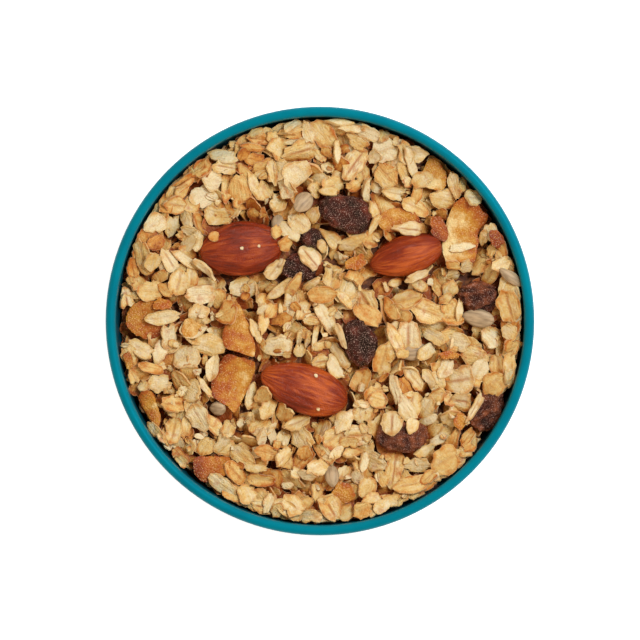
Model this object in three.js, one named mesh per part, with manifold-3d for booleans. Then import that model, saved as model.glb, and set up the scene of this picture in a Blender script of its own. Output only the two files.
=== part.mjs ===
// A bowl of granola. A small glazed bowl on a foot ring, filled with toasted oat flakes to a little
// below its rim, with whole almonds, raisins and toasted coconut chips lying in the surface.
// Units are millimetres, +Z is up, and the origin is the centre of the foot ring on the table.
// The oats are one heap: a core that fills the bowl, with the flakes and seeds that show fused to it.
import * as THREE from "three";
import { mergeVertices } from "three/addons/utils/BufferGeometryUtils.js";
import Module from "manifold-3d";

const wasm = await Module();
wasm.setup();

// Bowl.
const BOWL_OUTER_RADIUS = 60;
const BOWL_HEIGHT = 56;
const WALL = 2.8; // also the width of the rounded rim
const FLOOR_TOP = 7; // inside of the bowl at its middle
const FOOT_RADIUS = 29; // outside of the foot ring
const FOOT_WIDTH = 4.5;
const FOOT_HEIGHT = 3.5;
const UNDERSIDE = 3; // recess inside the foot ring
const BOWL_SIDES = 64;
const WALL_STEPS = 6; // rings up the wall, inside and outside
const RIM_STEPS = 4; // steps over the rounded rim

// Heap of oats.
const HEAP_GAP = 0.45; // between the heap and the bowl
const EDGE_LEVEL = 47.2; // core height at the wall
const MIDDLE_LEVEL = 48.3; // core height in the middle
const BUMP_HEIGHT = 0.45;
const HEAP_SIDES = 40;
const HEAP_RINGS = 8;
const HEIGHT_LIMIT = 51.6; // no flake reaches above this
const CLEARANCE = 0.5; // between the heap and each topping
const SLIVER = 0.1; // details of the joined heap smaller than this are smoothed away

// Oat flakes fused to the core.
const FLAKE_COUNT = 200;
const FLAKE_LENGTH = 10.0;
const FLAKE_ASPECT = 0.76; // width over length
const FLAKE_THICKNESS = 1.3;
const FLAKE_SIDES = 8;
const FLAKE_TILT = 0.27; // most flakes lie within this angle of flat, in radians
const GOLDEN_ANGLE = Math.PI * (3 - Math.sqrt(5));

// Toppings: x, y and z of the middle, with roll and pitch tipping a piece about X and Y, in degrees.
// An almond has a length, width and thickness, and the turn of its long axis, counter-clockwise from +X.
const ALMONDS = [
  { x: -22.1, y: 20.4, z: 50.2, length: 23.3, width: 15.6, thick: 8.2, turn: 6, roll: 4, pitch: 3 },
  { x: 24.2, y: 18.5, z: 50.2, length: 21.0, width: 11.6, thick: 8.8, turn: 17, roll: -12, pitch: -3 },
  { x: -4.5, y: -19.0, z: 50.4, length: 25.4, width: 14.2, thick: 8.0, turn: -19, roll: -5, pitch: 2 },
];
// A raisin has an outline: radii at even angles, counter-clockwise from +X.
const RAISINS = [
  {
    x: 7.0, y: 30.2, z: 50.6, thick: 6.2, roll: 3,
    outline: [7.2, 7.2, 5.7, 4.7, 4.8, 5.4, 7.0, 7.4, 6.9, 5.2, 4.9, 5.0, 5.2, 5.8, 7.1, 7.4],
  },
  {
    x: -5.9, y: 15.1, z: 48.9, thick: 5.6,
    outline: [4.8, 4.8, 4.2, 3.6, 3.9, 3.9, 3.6, 3.9, 4.5, 4.9, 4.5, 3.6, 3.8, 4.2, 4.8, 5.3],
  },
  {
    x: -2.5, y: 23.2, z: 49.0, thick: 5.0,
    outline: [3.3, 3.2, 3.1, 2.9, 2.8, 2.8, 2.9, 3.0, 3.0, 3.0, 2.8, 2.6, 2.4, 2.6, 2.8, 3.2],
  },
  {
    x: 11.2, y: -6.2, z: 50.4, thick: 6.0, roll: -3,
    outline: [4.5, 4.4, 4.4, 5.0, 6.1, 6.4, 6.1, 4.8, 4.3, 4.4, 4.6, 5.6, 6.4, 5.9, 5.0, 4.6],
  },
  {
    x: 44.5, y: 7.0, z: 49.7, thick: 5.6,
    outline: [4.9, 4.9, 3.8, 3.3, 3.5, 3.9, 4.4, 5.2, 5.2, 4.8, 4.5, 4.0, 4.0, 4.3, 4.9, 5.2],
  },
  {
    x: 23.2, y: -32.4, z: 49.4, thick: 6.0,
    outline: [7.0, 6.9, 5.2, 4.4, 4.2, 4.5, 5.3, 6.6, 7.2, 6.6, 4.9, 4.3, 4.2, 4.5, 5.4, 6.4],
  },
  {
    x: 46.9, y: -25.1, z: 49.8, thick: 6.2,
    outline: [3.6, 4.6, 5.7, 5.2, 4.7, 4.0, 3.7, 3.6, 4.1, 4.6, 5.3, 5.6, 5.0, 3.9, 3.2, 3.1],
  },
];
// A coconut chip has an outline too. Its ends rise by bend above its middle, along the direction curl.
const COCONUT_CHIPS = [
  {
    x: 40.3, y: 25.2, z: 50.3, bend: 1.3, curl: 78, roll: 6,
    outline: [5.0, 6.6, 8.5, 8.9, 9.5, 7.2, 5.9, 5.0, 4.9, 5.5, 7.2, 8.8, 8.4, 8.3, 6.2, 5.0],
  },
  {
    x: -22.4, y: -3.9, z: 50.9, bend: 1.0, curl: 100, roll: -5, pitch: 3,
    outline: [3.7, 3.5, 3.8, 5.3, 8.5, 5.2, 4.8, 4.7, 5.0, 4.9, 4.8, 5.3, 5.7, 6.8, 6.0, 4.3],
  },
  {
    x: -24.3, y: -17.1, z: 49.4, bend: 1.0, curl: 70, roll: 5, pitch: 4,
    outline: [4.5, 5.7, 8.2, 7.5, 7.6, 7.6, 5.9, 5.2, 5.6, 6.7, 7.6, 7.1, 8.3, 5.8, 4.5, 4.1],
  },
  {
    x: 32.7, y: 40.8, z: 50.0, bend: 0.8, curl: 62, roll: -10, pitch: 6,
    outline: [2.9, 2.9, 2.8, 3.3, 4.9, 5.2, 4.2, 4.1, 4.2, 4.5, 4.7, 4.3, 4.2, 4.4, 3.9, 3.3],
  },
  {
    x: -47.8, y: -24.3, z: 49.4, bend: 0.5, curl: 110, roll: 8,
    outline: [2.2, 2.1, 2.2, 3.4, 4.9, 5.3, 4.6, 3.0, 2.2, 1.8, 1.8, 2.3, 3.6, 5.9, 4.2, 2.7],
  },
  {
    x: -31.0, y: -40.8, z: 50.0, bend: 0.9, curl: -14, roll: -6, pitch: 3,
    outline: [5.8, 6.0, 3.6, 2.9, 2.8, 2.9, 3.9, 5.0, 4.6, 4.8, 4.8, 4.8, 4.4, 4.0, 4.6, 5.4],
  },
  {
    x: -48.9, y: 0.3, z: 49.5, bend: 0.9, curl: 20, roll: 4, pitch: -4,
    outline: [7.0, 7.6, 6.5, 5.6, 5.5, 5.5, 5.5, 5.5, 5.7, 5.5, 5.2, 5.0, 5.5, 5.8, 6.0, 6.0],
  },
  {
    x: 22.1, y: 28.2, z: 49.2, bend: 0.6, curl: 8, roll: 4,
    outline: [6.0, 5.4, 4.4, 3.8, 3.6, 3.8, 4.4, 5.2, 5.8, 5.2, 4.2, 3.4, 3.2, 3.6, 4.4, 5.4],
  },
];
const CHIP_THICKNESS = 1.1;
const CHIP_RINGS = 2; // rings of faces from its middle to its edge
const RAISIN_BLUNTNESS = 2.7; // 2 is an ellipse, and more is boxier

// Sunflower seeds that lie on the oats, fused to the heap.
const SEED_THICKNESS = 2.0;
const SEED_SIDES = 7;
const SEEDS = [
  { x: -4.8, y: 33.0, length: 6.8, width: 4.6, turn: 42 },
  { x: 44.6, y: 0.6, length: 8.6, width: 4.6, turn: -5 },
  { x: 30.8, y: -9.5, length: 10.0, width: 4.4, turn: 15 },
  { x: -11.5, y: 29.6, length: 5.4, width: 3.4, turn: 85 },
  { x: -32.6, y: -27.0, length: 5.2, width: 4.0, turn: 10 },
  { x: -18.0, y: -29.0, length: 6.2, width: 3.6, turn: -70 },
  { x: 4.2, y: -43.6, length: 6.2, width: 4.2, turn: 60 },
  { x: 52.0, y: 12.0, length: 6.4, width: 3.4, turn: -35 },
];

const materials = {
  bowl: new THREE.MeshStandardMaterial({ color: 0x0c7389, roughness: 0.2, metalness: 0 }),
  oats: new THREE.MeshStandardMaterial({ color: 0xd8b378, roughness: 0.75, metalness: 0 }),
  almond: new THREE.MeshStandardMaterial({ color: 0x94401f, roughness: 0.5, metalness: 0 }),
  raisin: new THREE.MeshStandardMaterial({ color: 0x3a201f, roughness: 0.6, metalness: 0 }),
  coconut: new THREE.MeshStandardMaterial({ color: 0xd19a55, roughness: 0.6, metalness: 0 }),
};

const radians = THREE.MathUtils.degToRad;

// A seeded random number generator: the same numbers on every run.
function seededRandom(seed) {
  let state = seed >>> 0;
  return () => {
    state = (state + 0x6d2b79f5) >>> 0;
    let t = state;
    t = Math.imul(t ^ (t >>> 15), t | 1);
    t ^= t + Math.imul(t ^ (t >>> 7), t | 61);
    return ((t ^ (t >>> 14)) >>> 0) / 4294967296;
  };
}

// Radius of the wall at a share of its height, 0 at the floor and 1 at the rim: round below, upright above.
function wallShape(share) {
  return Math.pow(1 - Math.pow(1 - share, 2.5), 0.46);
}

// Inside radius of the bowl at height z.
function insideRadius(z) {
  const share = THREE.MathUtils.clamp((z - FLOOR_TOP) / (BOWL_HEIGHT - WALL / 2 - FLOOR_TOP), 0, 1);
  return (BOWL_OUTER_RADIUS - WALL) * wallShape(share);
}

// Inner profile of the bowl, from near the middle of its floor up to the rim's inner edge.
function insideProfile() {
  const rimBase = BOWL_HEIGHT - WALL / 2;
  const points = [];
  for (let i = 1; i <= WALL_STEPS; i++) {
    const z = THREE.MathUtils.lerp(FLOOR_TOP, rimBase, Math.pow(i / WALL_STEPS, 1.8));
    points.push(new THREE.Vector2(insideRadius(z), z));
  }
  return points;
}

// The bowl: one turned profile, from the middle of the underside round to the middle of the inside.
function makeBowl() {
  const rimBase = BOWL_HEIGHT - WALL / 2;
  const points = [
    new THREE.Vector2(0, UNDERSIDE),
    new THREE.Vector2(FOOT_RADIUS - FOOT_WIDTH - 0.8, UNDERSIDE),
    new THREE.Vector2(FOOT_RADIUS - FOOT_WIDTH, 0),
    new THREE.Vector2(FOOT_RADIUS, 0),
    new THREE.Vector2(FOOT_RADIUS + 0.3, FOOT_HEIGHT),
  ];
  const outerStart = FOOT_HEIGHT + 0.6;
  for (let i = 1; i < WALL_STEPS; i++) {
    const share = Math.pow(i / WALL_STEPS, 1.5);
    const shape = wallShape(0.09 + 0.91 * share);
    points.push(new THREE.Vector2(BOWL_OUTER_RADIUS * shape, THREE.MathUtils.lerp(outerStart, rimBase, share)));
  }
  for (let i = 0; i <= RIM_STEPS; i++) {
    const angle = (Math.PI * i) / RIM_STEPS;
    points.push(
      new THREE.Vector2(
        BOWL_OUTER_RADIUS - WALL / 2 + (WALL / 2) * Math.cos(angle),
        rimBase + (WALL / 2) * Math.sin(angle),
      ),
    );
  }
  points.push(...insideProfile().slice(0, -1).reverse(), new THREE.Vector2(0, FLOOR_TOP));
  return turned(points, BOWL_SIDES);
}

// A LatheGeometry turns about Y: this stands it up along Z.
function turned(points, sides) {
  return new THREE.LatheGeometry(points, sides).rotateX(Math.PI / 2);
}

// Height of the core's surface: a low dome with bumps of about a flake's size.
function coreHeight(x, y) {
  const out = Math.min(1, Math.hypot(x, y) / (BOWL_OUTER_RADIUS - WALL));
  const dome = THREE.MathUtils.lerp(MIDDLE_LEVEL, EDGE_LEVEL, out * out);
  const bump = Math.sin(0.55 * x + 1.3) * Math.sin(0.49 * y + 0.4) + 0.6 * Math.sin(0.31 * x - 0.37 * y);
  return dome + BUMP_HEIGHT * bump;
}

// The core: it fills the bowl, with a gap to it, up to the uneven surface.
function makeCore() {
  const points = [new THREE.Vector2(0, FLOOR_TOP + HEAP_GAP)];
  for (const point of insideProfile().filter((p) => p.y < EDGE_LEVEL - 2)) {
    points.push(new THREE.Vector2(point.x - HEAP_GAP, point.y + HEAP_GAP));
  }
  const edge = insideRadius(EDGE_LEVEL) - 2 * HEAP_GAP;
  points.push(new THREE.Vector2(edge, EDGE_LEVEL));
  for (let i = HEAP_RINGS - 1; i >= 0; i--) {
    points.push(new THREE.Vector2((edge * i) / HEAP_RINGS, EDGE_LEVEL));
  }
  const geometry = turned(points, HEAP_SIDES);
  const place = geometry.getAttribute("position");
  for (let i = 0; i < place.count; i++) {
    if (place.getZ(i) > EDGE_LEVEL - 0.01) {
      const z = coreHeight(place.getX(i), place.getY(i));
      const settle = Math.hypot(place.getX(i), place.getY(i)) > edge - 0.1 ? EDGE_LEVEL : z;
      place.setZ(i, settle);
    }
  }
  return geometry;
}

// The matrix that stands a piece, made round the origin with its length along X, in its place.
function placed(at, z = at.z) {
  const tip = new THREE.Euler(radians(at.roll ?? 0), radians(at.pitch ?? 0), radians(at.turn ?? 0), "ZYX");
  return new THREE.Matrix4().makeRotationFromEuler(tip).setPosition(at.x, at.y, z);
}

// An almond kernel: pointed at its -X end, round at the other, with shallow furrows along its skin.
function almondGeometry(at, grow) {
  const geometry = new THREE.SphereGeometry(1, 16, 10).rotateZ(Math.PI / 2);
  const place = geometry.getAttribute("position");
  for (let i = 0; i < place.count; i++) {
    const along = place.getX(i);
    const around = Math.atan2(place.getZ(i), place.getY(i));
    const pointed = 1 - 0.3 * Math.pow((1 - along) / 2, 2.2);
    const furrow = 1 + 0.012 * Math.cos(10 * around);
    const wide = (at.width / 2) * pointed * furrow + grow;
    const thick = (at.thick / 2) * pointed * furrow + grow;
    const long = at.length / 2 + grow;
    place.setXYZ(i, long * (along - 0.05 * (1 - along * along)), wide * place.getY(i), thick * place.getZ(i));
  }
  return geometry.applyMatrix4(placed(at));
}

// Radius of an outline at an angle in radians, between its given radii.
function outlineRadius(outline, angle) {
  const step = THREE.MathUtils.euclideanModulo(angle / (2 * Math.PI), 1) * outline.length;
  const first = Math.floor(step) % outline.length;
  return THREE.MathUtils.lerp(outline[first], outline[(first + 1) % outline.length], step % 1);
}

// A raisin: a flattened, blunt lump with shallow folds.
function raisinGeometry(at, grow, seed) {
  const geometry = new THREE.IcosahedronGeometry(1, 2);
  const place = geometry.getAttribute("position");
  for (let i = 0; i < place.count; i++) {
    const [x, y, z] = [place.getX(i), place.getY(i), place.getZ(i)];
    const power = Math.pow(Math.hypot(x, y), RAISIN_BLUNTNESS) + Math.pow(Math.abs(z), RAISIN_BLUNTNESS);
    const blunt = Math.pow(power, -1 / RAISIN_BLUNTNESS);
    const fold = 1 + 0.04 * Math.sin(5.1 * x + 2.3 * y + seed) * Math.cos(4.3 * y - 3.1 * z + 1.7 * seed);
    const wide = blunt * (outlineRadius(at.outline, Math.atan2(y, x)) * fold + grow);
    place.setXYZ(i, x * wide, y * wide, z * blunt * ((at.thick / 2) * fold + grow));
  }
  return geometry.applyMatrix4(placed(at));
}

// A coconut chip: a thin shaving with its own torn outline, curled up at two ends.
function chipGeometry(at, grow) {
  const sides = at.outline.length;
  const size = at.outline.reduce((sum, radius) => sum + radius) / sides;
  const positions = [];
  for (const side of [1, -1]) {
    positions.push(0, 0, -0.45 * at.bend + side * (CHIP_THICKNESS / 2 + grow));
    for (let ring = 1; ring <= CHIP_RINGS; ring++) {
      for (let i = 0; i < sides; i++) {
        const angle = (2 * Math.PI * i) / sides;
        const radius = ((at.outline[i] + grow) * ring) / CHIP_RINGS;
        const ahead = (radius * Math.cos(angle - radians(at.curl))) / size;
        const aside = (radius * Math.sin(angle - radians(at.curl))) / size;
        const rise = at.bend * (ahead * ahead - 0.4 * aside * aside - 0.45);
        positions.push(radius * Math.cos(angle), radius * Math.sin(angle), rise + side * (CHIP_THICKNESS / 2 + grow));
      }
    }
  }
  const below = 1 + CHIP_RINGS * sides; // index of the underside's middle
  const faces = [];
  for (let i = 0; i < sides; i++) {
    const next = (i + 1) % sides;
    faces.push(0, 1 + i, 1 + next, below, below + 1 + next, below + 1 + i);
    for (let ring = 1; ring < CHIP_RINGS; ring++) {
      const [a, b] = [1 + (ring - 1) * sides + i, 1 + (ring - 1) * sides + next];
      const [c, d] = [a + sides, b + sides];
      faces.push(a, c, d, a, d, b, below + a, below + d, below + c, below + a, below + b, below + d);
    }
    const [edge, nextEdge] = [below - sides + i, below - sides + next];
    faces.push(edge, below + edge, below + nextEdge, edge, below + nextEdge, nextEdge);
  }
  const geometry = new THREE.BufferGeometry();
  geometry.setAttribute("position", new THREE.Float32BufferAttribute(positions, 3));
  geometry.setIndex(faces);
  return geometry.applyMatrix4(placed(at));
}

// A rolled oat: an uneven oval with a crease along its top and a rounded underside.
function flakeGeometry(length, width, matrix, random) {
  const positions = [];
  const half = FLAKE_THICKNESS / 2;
  for (let i = 0; i < FLAKE_SIDES; i++) {
    const angle = (2 * Math.PI * i) / FLAKE_SIDES;
    const ragged = 1 + 0.14 * (random() - 0.5);
    const curl = 0.5 * half * Math.cos(2 * angle);
    positions.push((length / 2) * ragged * Math.cos(angle), (width / 2) * ragged * Math.sin(angle), curl + half);
  }
  positions.push(-0.2 * length, 0, half * 0.9, 0.2 * length, 0, half * 0.9, 0, 0, -half);
  const [left, right, under] = [FLAKE_SIDES, FLAKE_SIDES + 1, FLAKE_SIDES + 2];
  const faces = [];
  for (let i = 0; i < FLAKE_SIDES; i++) {
    const next = (i + 1) % FLAKE_SIDES;
    const middle = 2 * i + 1 < FLAKE_SIDES / 2 || 2 * i + 1 > (3 * FLAKE_SIDES) / 2 ? right : left;
    const nextIndex = 2 * next + 1;
    const nextMiddle = nextIndex < FLAKE_SIDES / 2 || nextIndex > (3 * FLAKE_SIDES) / 2 ? right : left;
    faces.push(i, next, middle, next, i, under);
    if (middle !== nextMiddle) {
      faces.push(next, nextMiddle, middle);
    }
  }
  const geometry = new THREE.BufferGeometry();
  geometry.setAttribute("position", new THREE.Float32BufferAttribute(positions, 3));
  geometry.setIndex(faces);
  return geometry.applyMatrix4(matrix);
}

// A hulled sunflower seed: a flat drop with its point at the +X end.
function seedGeometry(at) {
  const geometry = new THREE.SphereGeometry(1, SEED_SIDES, 5).rotateZ(-Math.PI / 2);
  const place = geometry.getAttribute("position");
  for (let i = 0; i < place.count; i++) {
    const along = place.getX(i);
    const taper = 1 - 0.35 * Math.max(0, along);
    place.setXYZ(
      i,
      (along * at.length) / 2,
      (place.getY(i) * taper * at.width) / 2,
      (place.getZ(i) * taper * SEED_THICKNESS) / 2,
    );
  }
  return geometry.applyMatrix4(placed(at, coreHeight(at.x, at.y) + 1.1));
}

// A closed geometry as a manifold solid: vertices merged, and the faces that collapsed dropped.
function solid(geometry) {
  const bare = geometry.clone();
  bare.deleteAttribute("normal");
  bare.deleteAttribute("uv");
  const merged = mergeVertices(bare, 1e-4);
  const triVerts = [];
  const index = merged.getIndex().array;
  for (let i = 0; i < index.length; i += 3) {
    const [a, b, c] = [index[i], index[i + 1], index[i + 2]];
    if (a !== b && b !== c && a !== c) {
      triVerts.push(a, b, c);
    }
  }
  return new wasm.Manifold(
    new wasm.Mesh({
      numProp: 3,
      vertProperties: merged.getAttribute("position").array,
      triVerts: new Uint32Array(triVerts),
    }),
  );
}

// A manifold solid as a BufferGeometry.
function geometryOf(made) {
  const mesh = made.getMesh();
  const geometry = new THREE.BufferGeometry();
  geometry.setAttribute("position", new THREE.BufferAttribute(mesh.vertProperties, 3));
  geometry.setIndex(new THREE.BufferAttribute(mesh.triVerts, 1));
  geometry.computeVertexNormals();
  return geometry;
}

// True where a place is on a topping or within a margin of it, seen from above.
function nearTopping(x, y, margin, toppings) {
  return toppings.some((at) => {
    const [dx, dy] = [x - at.x, y - at.y];
    const angle = Math.atan2(dy, dx);
    if (at.outline) {
      return Math.hypot(dx, dy) < outlineRadius(at.outline, angle) + margin;
    }
    const along = Math.hypot(dx, dy) * Math.cos(angle - radians(at.turn));
    const across = Math.hypot(dx, dy) * Math.sin(angle - radians(at.turn));
    return Math.hypot(along / (at.length / 2 + margin), across / (at.width / 2 + margin)) < 1;
  });
}

// The flakes that show: spread evenly on a sunflower spiral, each tipped and turned by seeded draws.
function makeFlakes(toppings) {
  const random = seededRandom(20240);
  const flakes = [];
  for (let i = 0; i < FLAKE_COUNT; i++) {
    const length = FLAKE_LENGTH * (0.8 + 0.35 * random());
    const width = length * FLAKE_ASPECT * (0.85 + 0.3 * random());
    const out = (insideRadius(EDGE_LEVEL) - 3.2) * Math.sqrt((i + 0.5) / FLAKE_COUNT);
    const round = i * GOLDEN_ANGLE;
    const x = out * Math.cos(round) + 1.2 * (random() - 0.5);
    const y = out * Math.sin(round) + 1.2 * (random() - 0.5);
    const steep = random() < 0.14 ? 2.1 : 1;
    const tip = new THREE.Euler(
      steep * FLAKE_TILT * (2 * random() - 1),
      steep * FLAKE_TILT * (2 * random() - 1),
      2 * Math.PI * random(),
      "ZYX",
    );
    const lift = 0.6 + 1.1 * random();
    const matrix = new THREE.Matrix4().makeRotationFromEuler(tip).setPosition(x, y, coreHeight(x, y) + lift);
    const geometry = flakeGeometry(length, width, matrix, random);
    geometry.computeBoundingBox();
    const reach = reachOf(geometry);
    const wall = insideRadius(geometry.boundingBox.min.z) - HEAP_GAP;
    geometry.translate(0, 0, Math.min(0, HEIGHT_LIMIT - geometry.boundingBox.max.z));
    if (reach < wall && !nearTopping(x, y, 1.2, toppings)) {
      flakes.push(solid(geometry));
    }
  }
  return flakes;
}

// How far from the bowl's axis a geometry reaches.
function reachOf(geometry) {
  const place = geometry.getAttribute("position");
  let reach = 0;
  for (let i = 0; i < place.count; i++) {
    reach = Math.max(reach, Math.hypot(place.getX(i), place.getY(i)));
  }
  return reach;
}

// The heap: core, flakes and seeds joined, with a pocket for each topping, and any loose scrap dropped.
function makeHeap(cutters, toppings) {
  const pieces = [solid(makeCore()), ...makeFlakes(toppings), ...SEEDS.map((at) => solid(seedGeometry(at)))];
  const joined = wasm.Manifold.union(pieces);
  const cut = joined.subtract(wasm.Manifold.union(cutters));
  const [heap] = cut.simplify(SLIVER).decompose().sort((a, b) => b.volume() - a.volume());
  return geometryOf(heap);
}

function named(name, geometry, material) {
  const mesh = new THREE.Mesh(geometry, material);
  mesh.name = name;
  return mesh;
}

const granolaBowl = new THREE.Group();
granolaBowl.add(named("bowl", makeBowl(), materials.bowl));

const cutters = [];
const kinds = [
  { name: "almond", list: ALMONDS, shape: almondGeometry, material: materials.almond },
  { name: "raisin", list: RAISINS, shape: raisinGeometry, material: materials.raisin },
  { name: "coconut_chip", list: COCONUT_CHIPS, shape: chipGeometry, material: materials.coconut },
];
for (const kind of kinds) {
  kind.list.forEach((at, i) => {
    granolaBowl.add(named(`${kind.name}_${i + 1}`, kind.shape(at, 0, i), kind.material));
    cutters.push(solid(kind.shape(at, CLEARANCE, i)));
  });
}
granolaBowl.add(named("oats", makeHeap(cutters, [...ALMONDS, ...RAISINS, ...COCONUT_CHIPS]), materials.oats));

export default granolaBowl;
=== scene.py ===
"""A bowl of granola: a glazed stoneware bowl filled with toasted oats, almonds, raisins and coconut chips.

Lengths in the classes are millimetres, and become metres where a mesh is made. The heap is laid flake by
flake on a map of the heights of what already lies in the bowl, so that every flake rests on others.
"""

import logging
import math
from dataclasses import dataclass, field
from enum import Enum

import bmesh
import bpy
import numpy as np
from mathutils import Euler, Matrix, Vector, noise


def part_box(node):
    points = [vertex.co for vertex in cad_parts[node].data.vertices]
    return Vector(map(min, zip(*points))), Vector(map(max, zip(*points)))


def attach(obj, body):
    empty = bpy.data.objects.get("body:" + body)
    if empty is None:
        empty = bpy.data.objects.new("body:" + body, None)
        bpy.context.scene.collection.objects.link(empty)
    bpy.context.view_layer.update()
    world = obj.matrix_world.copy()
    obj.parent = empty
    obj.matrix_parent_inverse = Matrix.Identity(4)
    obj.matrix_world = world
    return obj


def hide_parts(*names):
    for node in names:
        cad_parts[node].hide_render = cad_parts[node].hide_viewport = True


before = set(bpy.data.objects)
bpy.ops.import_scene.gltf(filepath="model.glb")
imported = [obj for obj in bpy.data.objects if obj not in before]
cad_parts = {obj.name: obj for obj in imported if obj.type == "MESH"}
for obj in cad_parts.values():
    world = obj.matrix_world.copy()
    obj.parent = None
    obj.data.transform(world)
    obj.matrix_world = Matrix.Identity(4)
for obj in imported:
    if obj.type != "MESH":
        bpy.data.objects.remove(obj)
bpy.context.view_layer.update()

MM = 0.001
PHOTO_MIDDLE = (320.0, 321.0)  # the bowl's middle in the photograph, in pixels
PHOTO_WIDTH = 640  # pixels
RIM_WIDTH = 120.0  # millimetres across the rim
RIM_PIXELS = 429.0  # pixels across it in the photograph
PIXEL = RIM_WIDTH / RIM_PIXELS  # millimetres in one pixel at the rim
NEAR = 0.01  # millimetres within which two places are the same
CORNER = 55  # degrees between faces at which an edge is sharp
MIX_UNDER, MIX_OVER = 6, 7  # a Mix node's inputs for the colour under and the colour laid over it
GLOW_REACH = (1.0, 0.55, 0.28)  # how far red, green and blue light go in food, as shares of its scale

Source = bpy.types.Node | bpy.types.NodeSocket

log = logging.getLogger("granola")


def from_photo(px: float, py: float) -> tuple[float, float]:
    """Where a pixel of the photograph lies.

    Args:
        px: Pixels from the left edge.
        py: Pixels from the top edge.

    Returns:
        x and y in millimetres from the bowl's axis.
    """
    return (px - PHOTO_MIDDLE[0]) * PIXEL, (PHOTO_MIDDLE[1] - py) * PIXEL


def linear(colour: str) -> tuple[float, float, float, float]:
    """Turns an sRGB hex colour such as "#0c7389" to the linear colour that a shader takes."""
    shares = [int(colour[i : i + 2], 16) / 255 for i in (1, 3, 5)]
    return (*[s / 12.92 if s <= 0.04045 else ((s + 0.055) / 1.055) ** 2.4 for s in shares], 1.0)


def outlet(source: Source) -> bpy.types.NodeSocket:
    """Where a link starts.

    Args:
        source: A node or a socket.

    Returns:
        The socket itself, or the node's first live output.
    """
    if isinstance(source, bpy.types.NodeSocket):
        return source
    return next(output for output in source.outputs if output.enabled)


def add_node(
    tree: bpy.types.NodeTree, kind: str, inputs: dict | None = None, **settings: object
) -> bpy.types.Node:
    """Adds a node with its settings and links.

    Args:
        tree: The tree that it goes into.
        kind: The node's type, without ShaderNode.
        inputs: Input name or number to the node or socket that feeds it, or to its constant value.
        settings: The node's own properties. stops are a colour ramp's places and hex colours.

    Returns:
        The node.
    """
    node = tree.nodes.new("ShaderNode" + kind)
    for place, colour in enumerate(settings.pop("stops", [])):
        steps = node.color_ramp.elements
        step = steps[place] if place < len(steps) else steps.new(colour[0])
        step.position = colour[0]
        step.color = linear(colour[1])
    for name, value in settings.items():
        setattr(node, name, value)
    for name, value in (inputs or {}).items():
        if isinstance(value, Source):
            tree.links.new(outlet(value), node.inputs[name])
        else:
            node.inputs[name].default_value = value
    return node


@dataclass(frozen=True)
class Finish:
    """What every finish has: a name, its gloss, its glow, and a pattern of its own with its relief."""

    name: str
    roughness: float
    ior: float = 1.5
    specular: float = 0.5
    specular_tint: str = "#ffffff"
    glow: float = 0.0
    glow_mm: float = 0.6
    relief: float = 1.0  # how strongly the relief shows
    relief_mm: float = 0.1

    def material(self) -> bpy.types.Material:
        """Makes the material, or finds it if it is made already.

        Returns:
            The material.
        """
        made = bpy.data.materials.get(self.name)
        if made is None:
            made = bpy.data.materials.new(self.name)
            made.use_nodes = True
            shader = made.node_tree.nodes["Principled BSDF"]
            shader.inputs["Roughness"].default_value = self.roughness
            shader.inputs["IOR"].default_value = self.ior
            shader.inputs["Specular IOR Level"].default_value = self.specular
            shader.inputs["Specular Tint"].default_value = linear(self.specular_tint)
            shader.inputs["Subsurface Weight"].default_value = self.glow
            shader.inputs["Subsurface Scale"].default_value = self.glow_mm * MM
            shader.inputs["Subsurface Radius"].default_value = GLOW_REACH
            self.dress(made.node_tree, shader)
        return made

    def dress(self, tree: bpy.types.NodeTree, shader: bpy.types.Node) -> None:
        """Feeds the pattern's colour and height to the shader.

        Args:
            tree: The material's tree.
            shader: Its Principled shader.
        """
        colour, height = self.pattern(tree)
        raised = {"Height": height, "Strength": self.relief, "Distance": self.relief_mm * MM}
        tree.links.new(outlet(colour), shader.inputs["Base Color"])
        tree.links.new(outlet(add_node(tree, "Bump", raised)), shader.inputs["Normal"])

    def pattern(self, tree: bpy.types.NodeTree) -> tuple[Source, Source]:
        """Draws the finish.

        Args:
            tree: The material's tree.

        Returns:
            What gives its colour, and what gives its height.
        """
        raise NotImplementedError


@dataclass(frozen=True)
class GlazedStoneware(Finish):
    """Teal glaze fired on stoneware: even and glossy, with painted shade that darkens the inside wall below
    the rim.
    """

    name: str = "glazed_stoneware"
    roughness: float = 0.32
    ior: float = 1.45
    specular: float = 0.28
    specular_tint: str = "#1f9dc0"
    relief: float = 0.25
    relief_mm: float = 0.06
    glaze: str = "#04748a"
    pooled: str = "#046b82"
    # painted shade: the colour that the inside wall darkens to below the rim
    deep: str = "#034557"
    mottle_mm: float = 9.0
    ripple_mm: float = 5.0

    def pattern(self, tree: bpy.types.NodeTree) -> tuple[Source, Source]:
        """Mottles the glaze faintly, gives it the slow ripple of a dipped surface, and paints shade on the
        inside wall below the rim.

        Args:
            tree: The material's tree.

        Returns:
            What gives its colour, and what gives its height.
        """
        place = add_node(tree, "TexCoord").outputs["Object"]
        inside = add_node(tree, "Attribute", attribute_name="inside").outputs["Fac"]
        mottle = {"Vector": place, "Scale": 1 / (self.mottle_mm * MM), "Detail": 3.0}
        ripple = {"Vector": place, "Scale": 1 / (self.ripple_mm * MM), "Detail": 1.0}
        stops = [(0.35, self.pooled), (0.62, self.glaze)]
        tint = add_node(tree, "ValToRGB", {"Fac": add_node(tree, "TexNoise", mottle)}, stops=stops)
        # painted shade: the inside wall darkens towards the deep colour below the rim
        layers = {"Factor": inside, MIX_UNDER: tint, MIX_OVER: linear(self.deep)}
        return add_node(tree, "Mix", layers, data_type="RGBA"), add_node(tree, "TexNoise", ripple)


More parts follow.
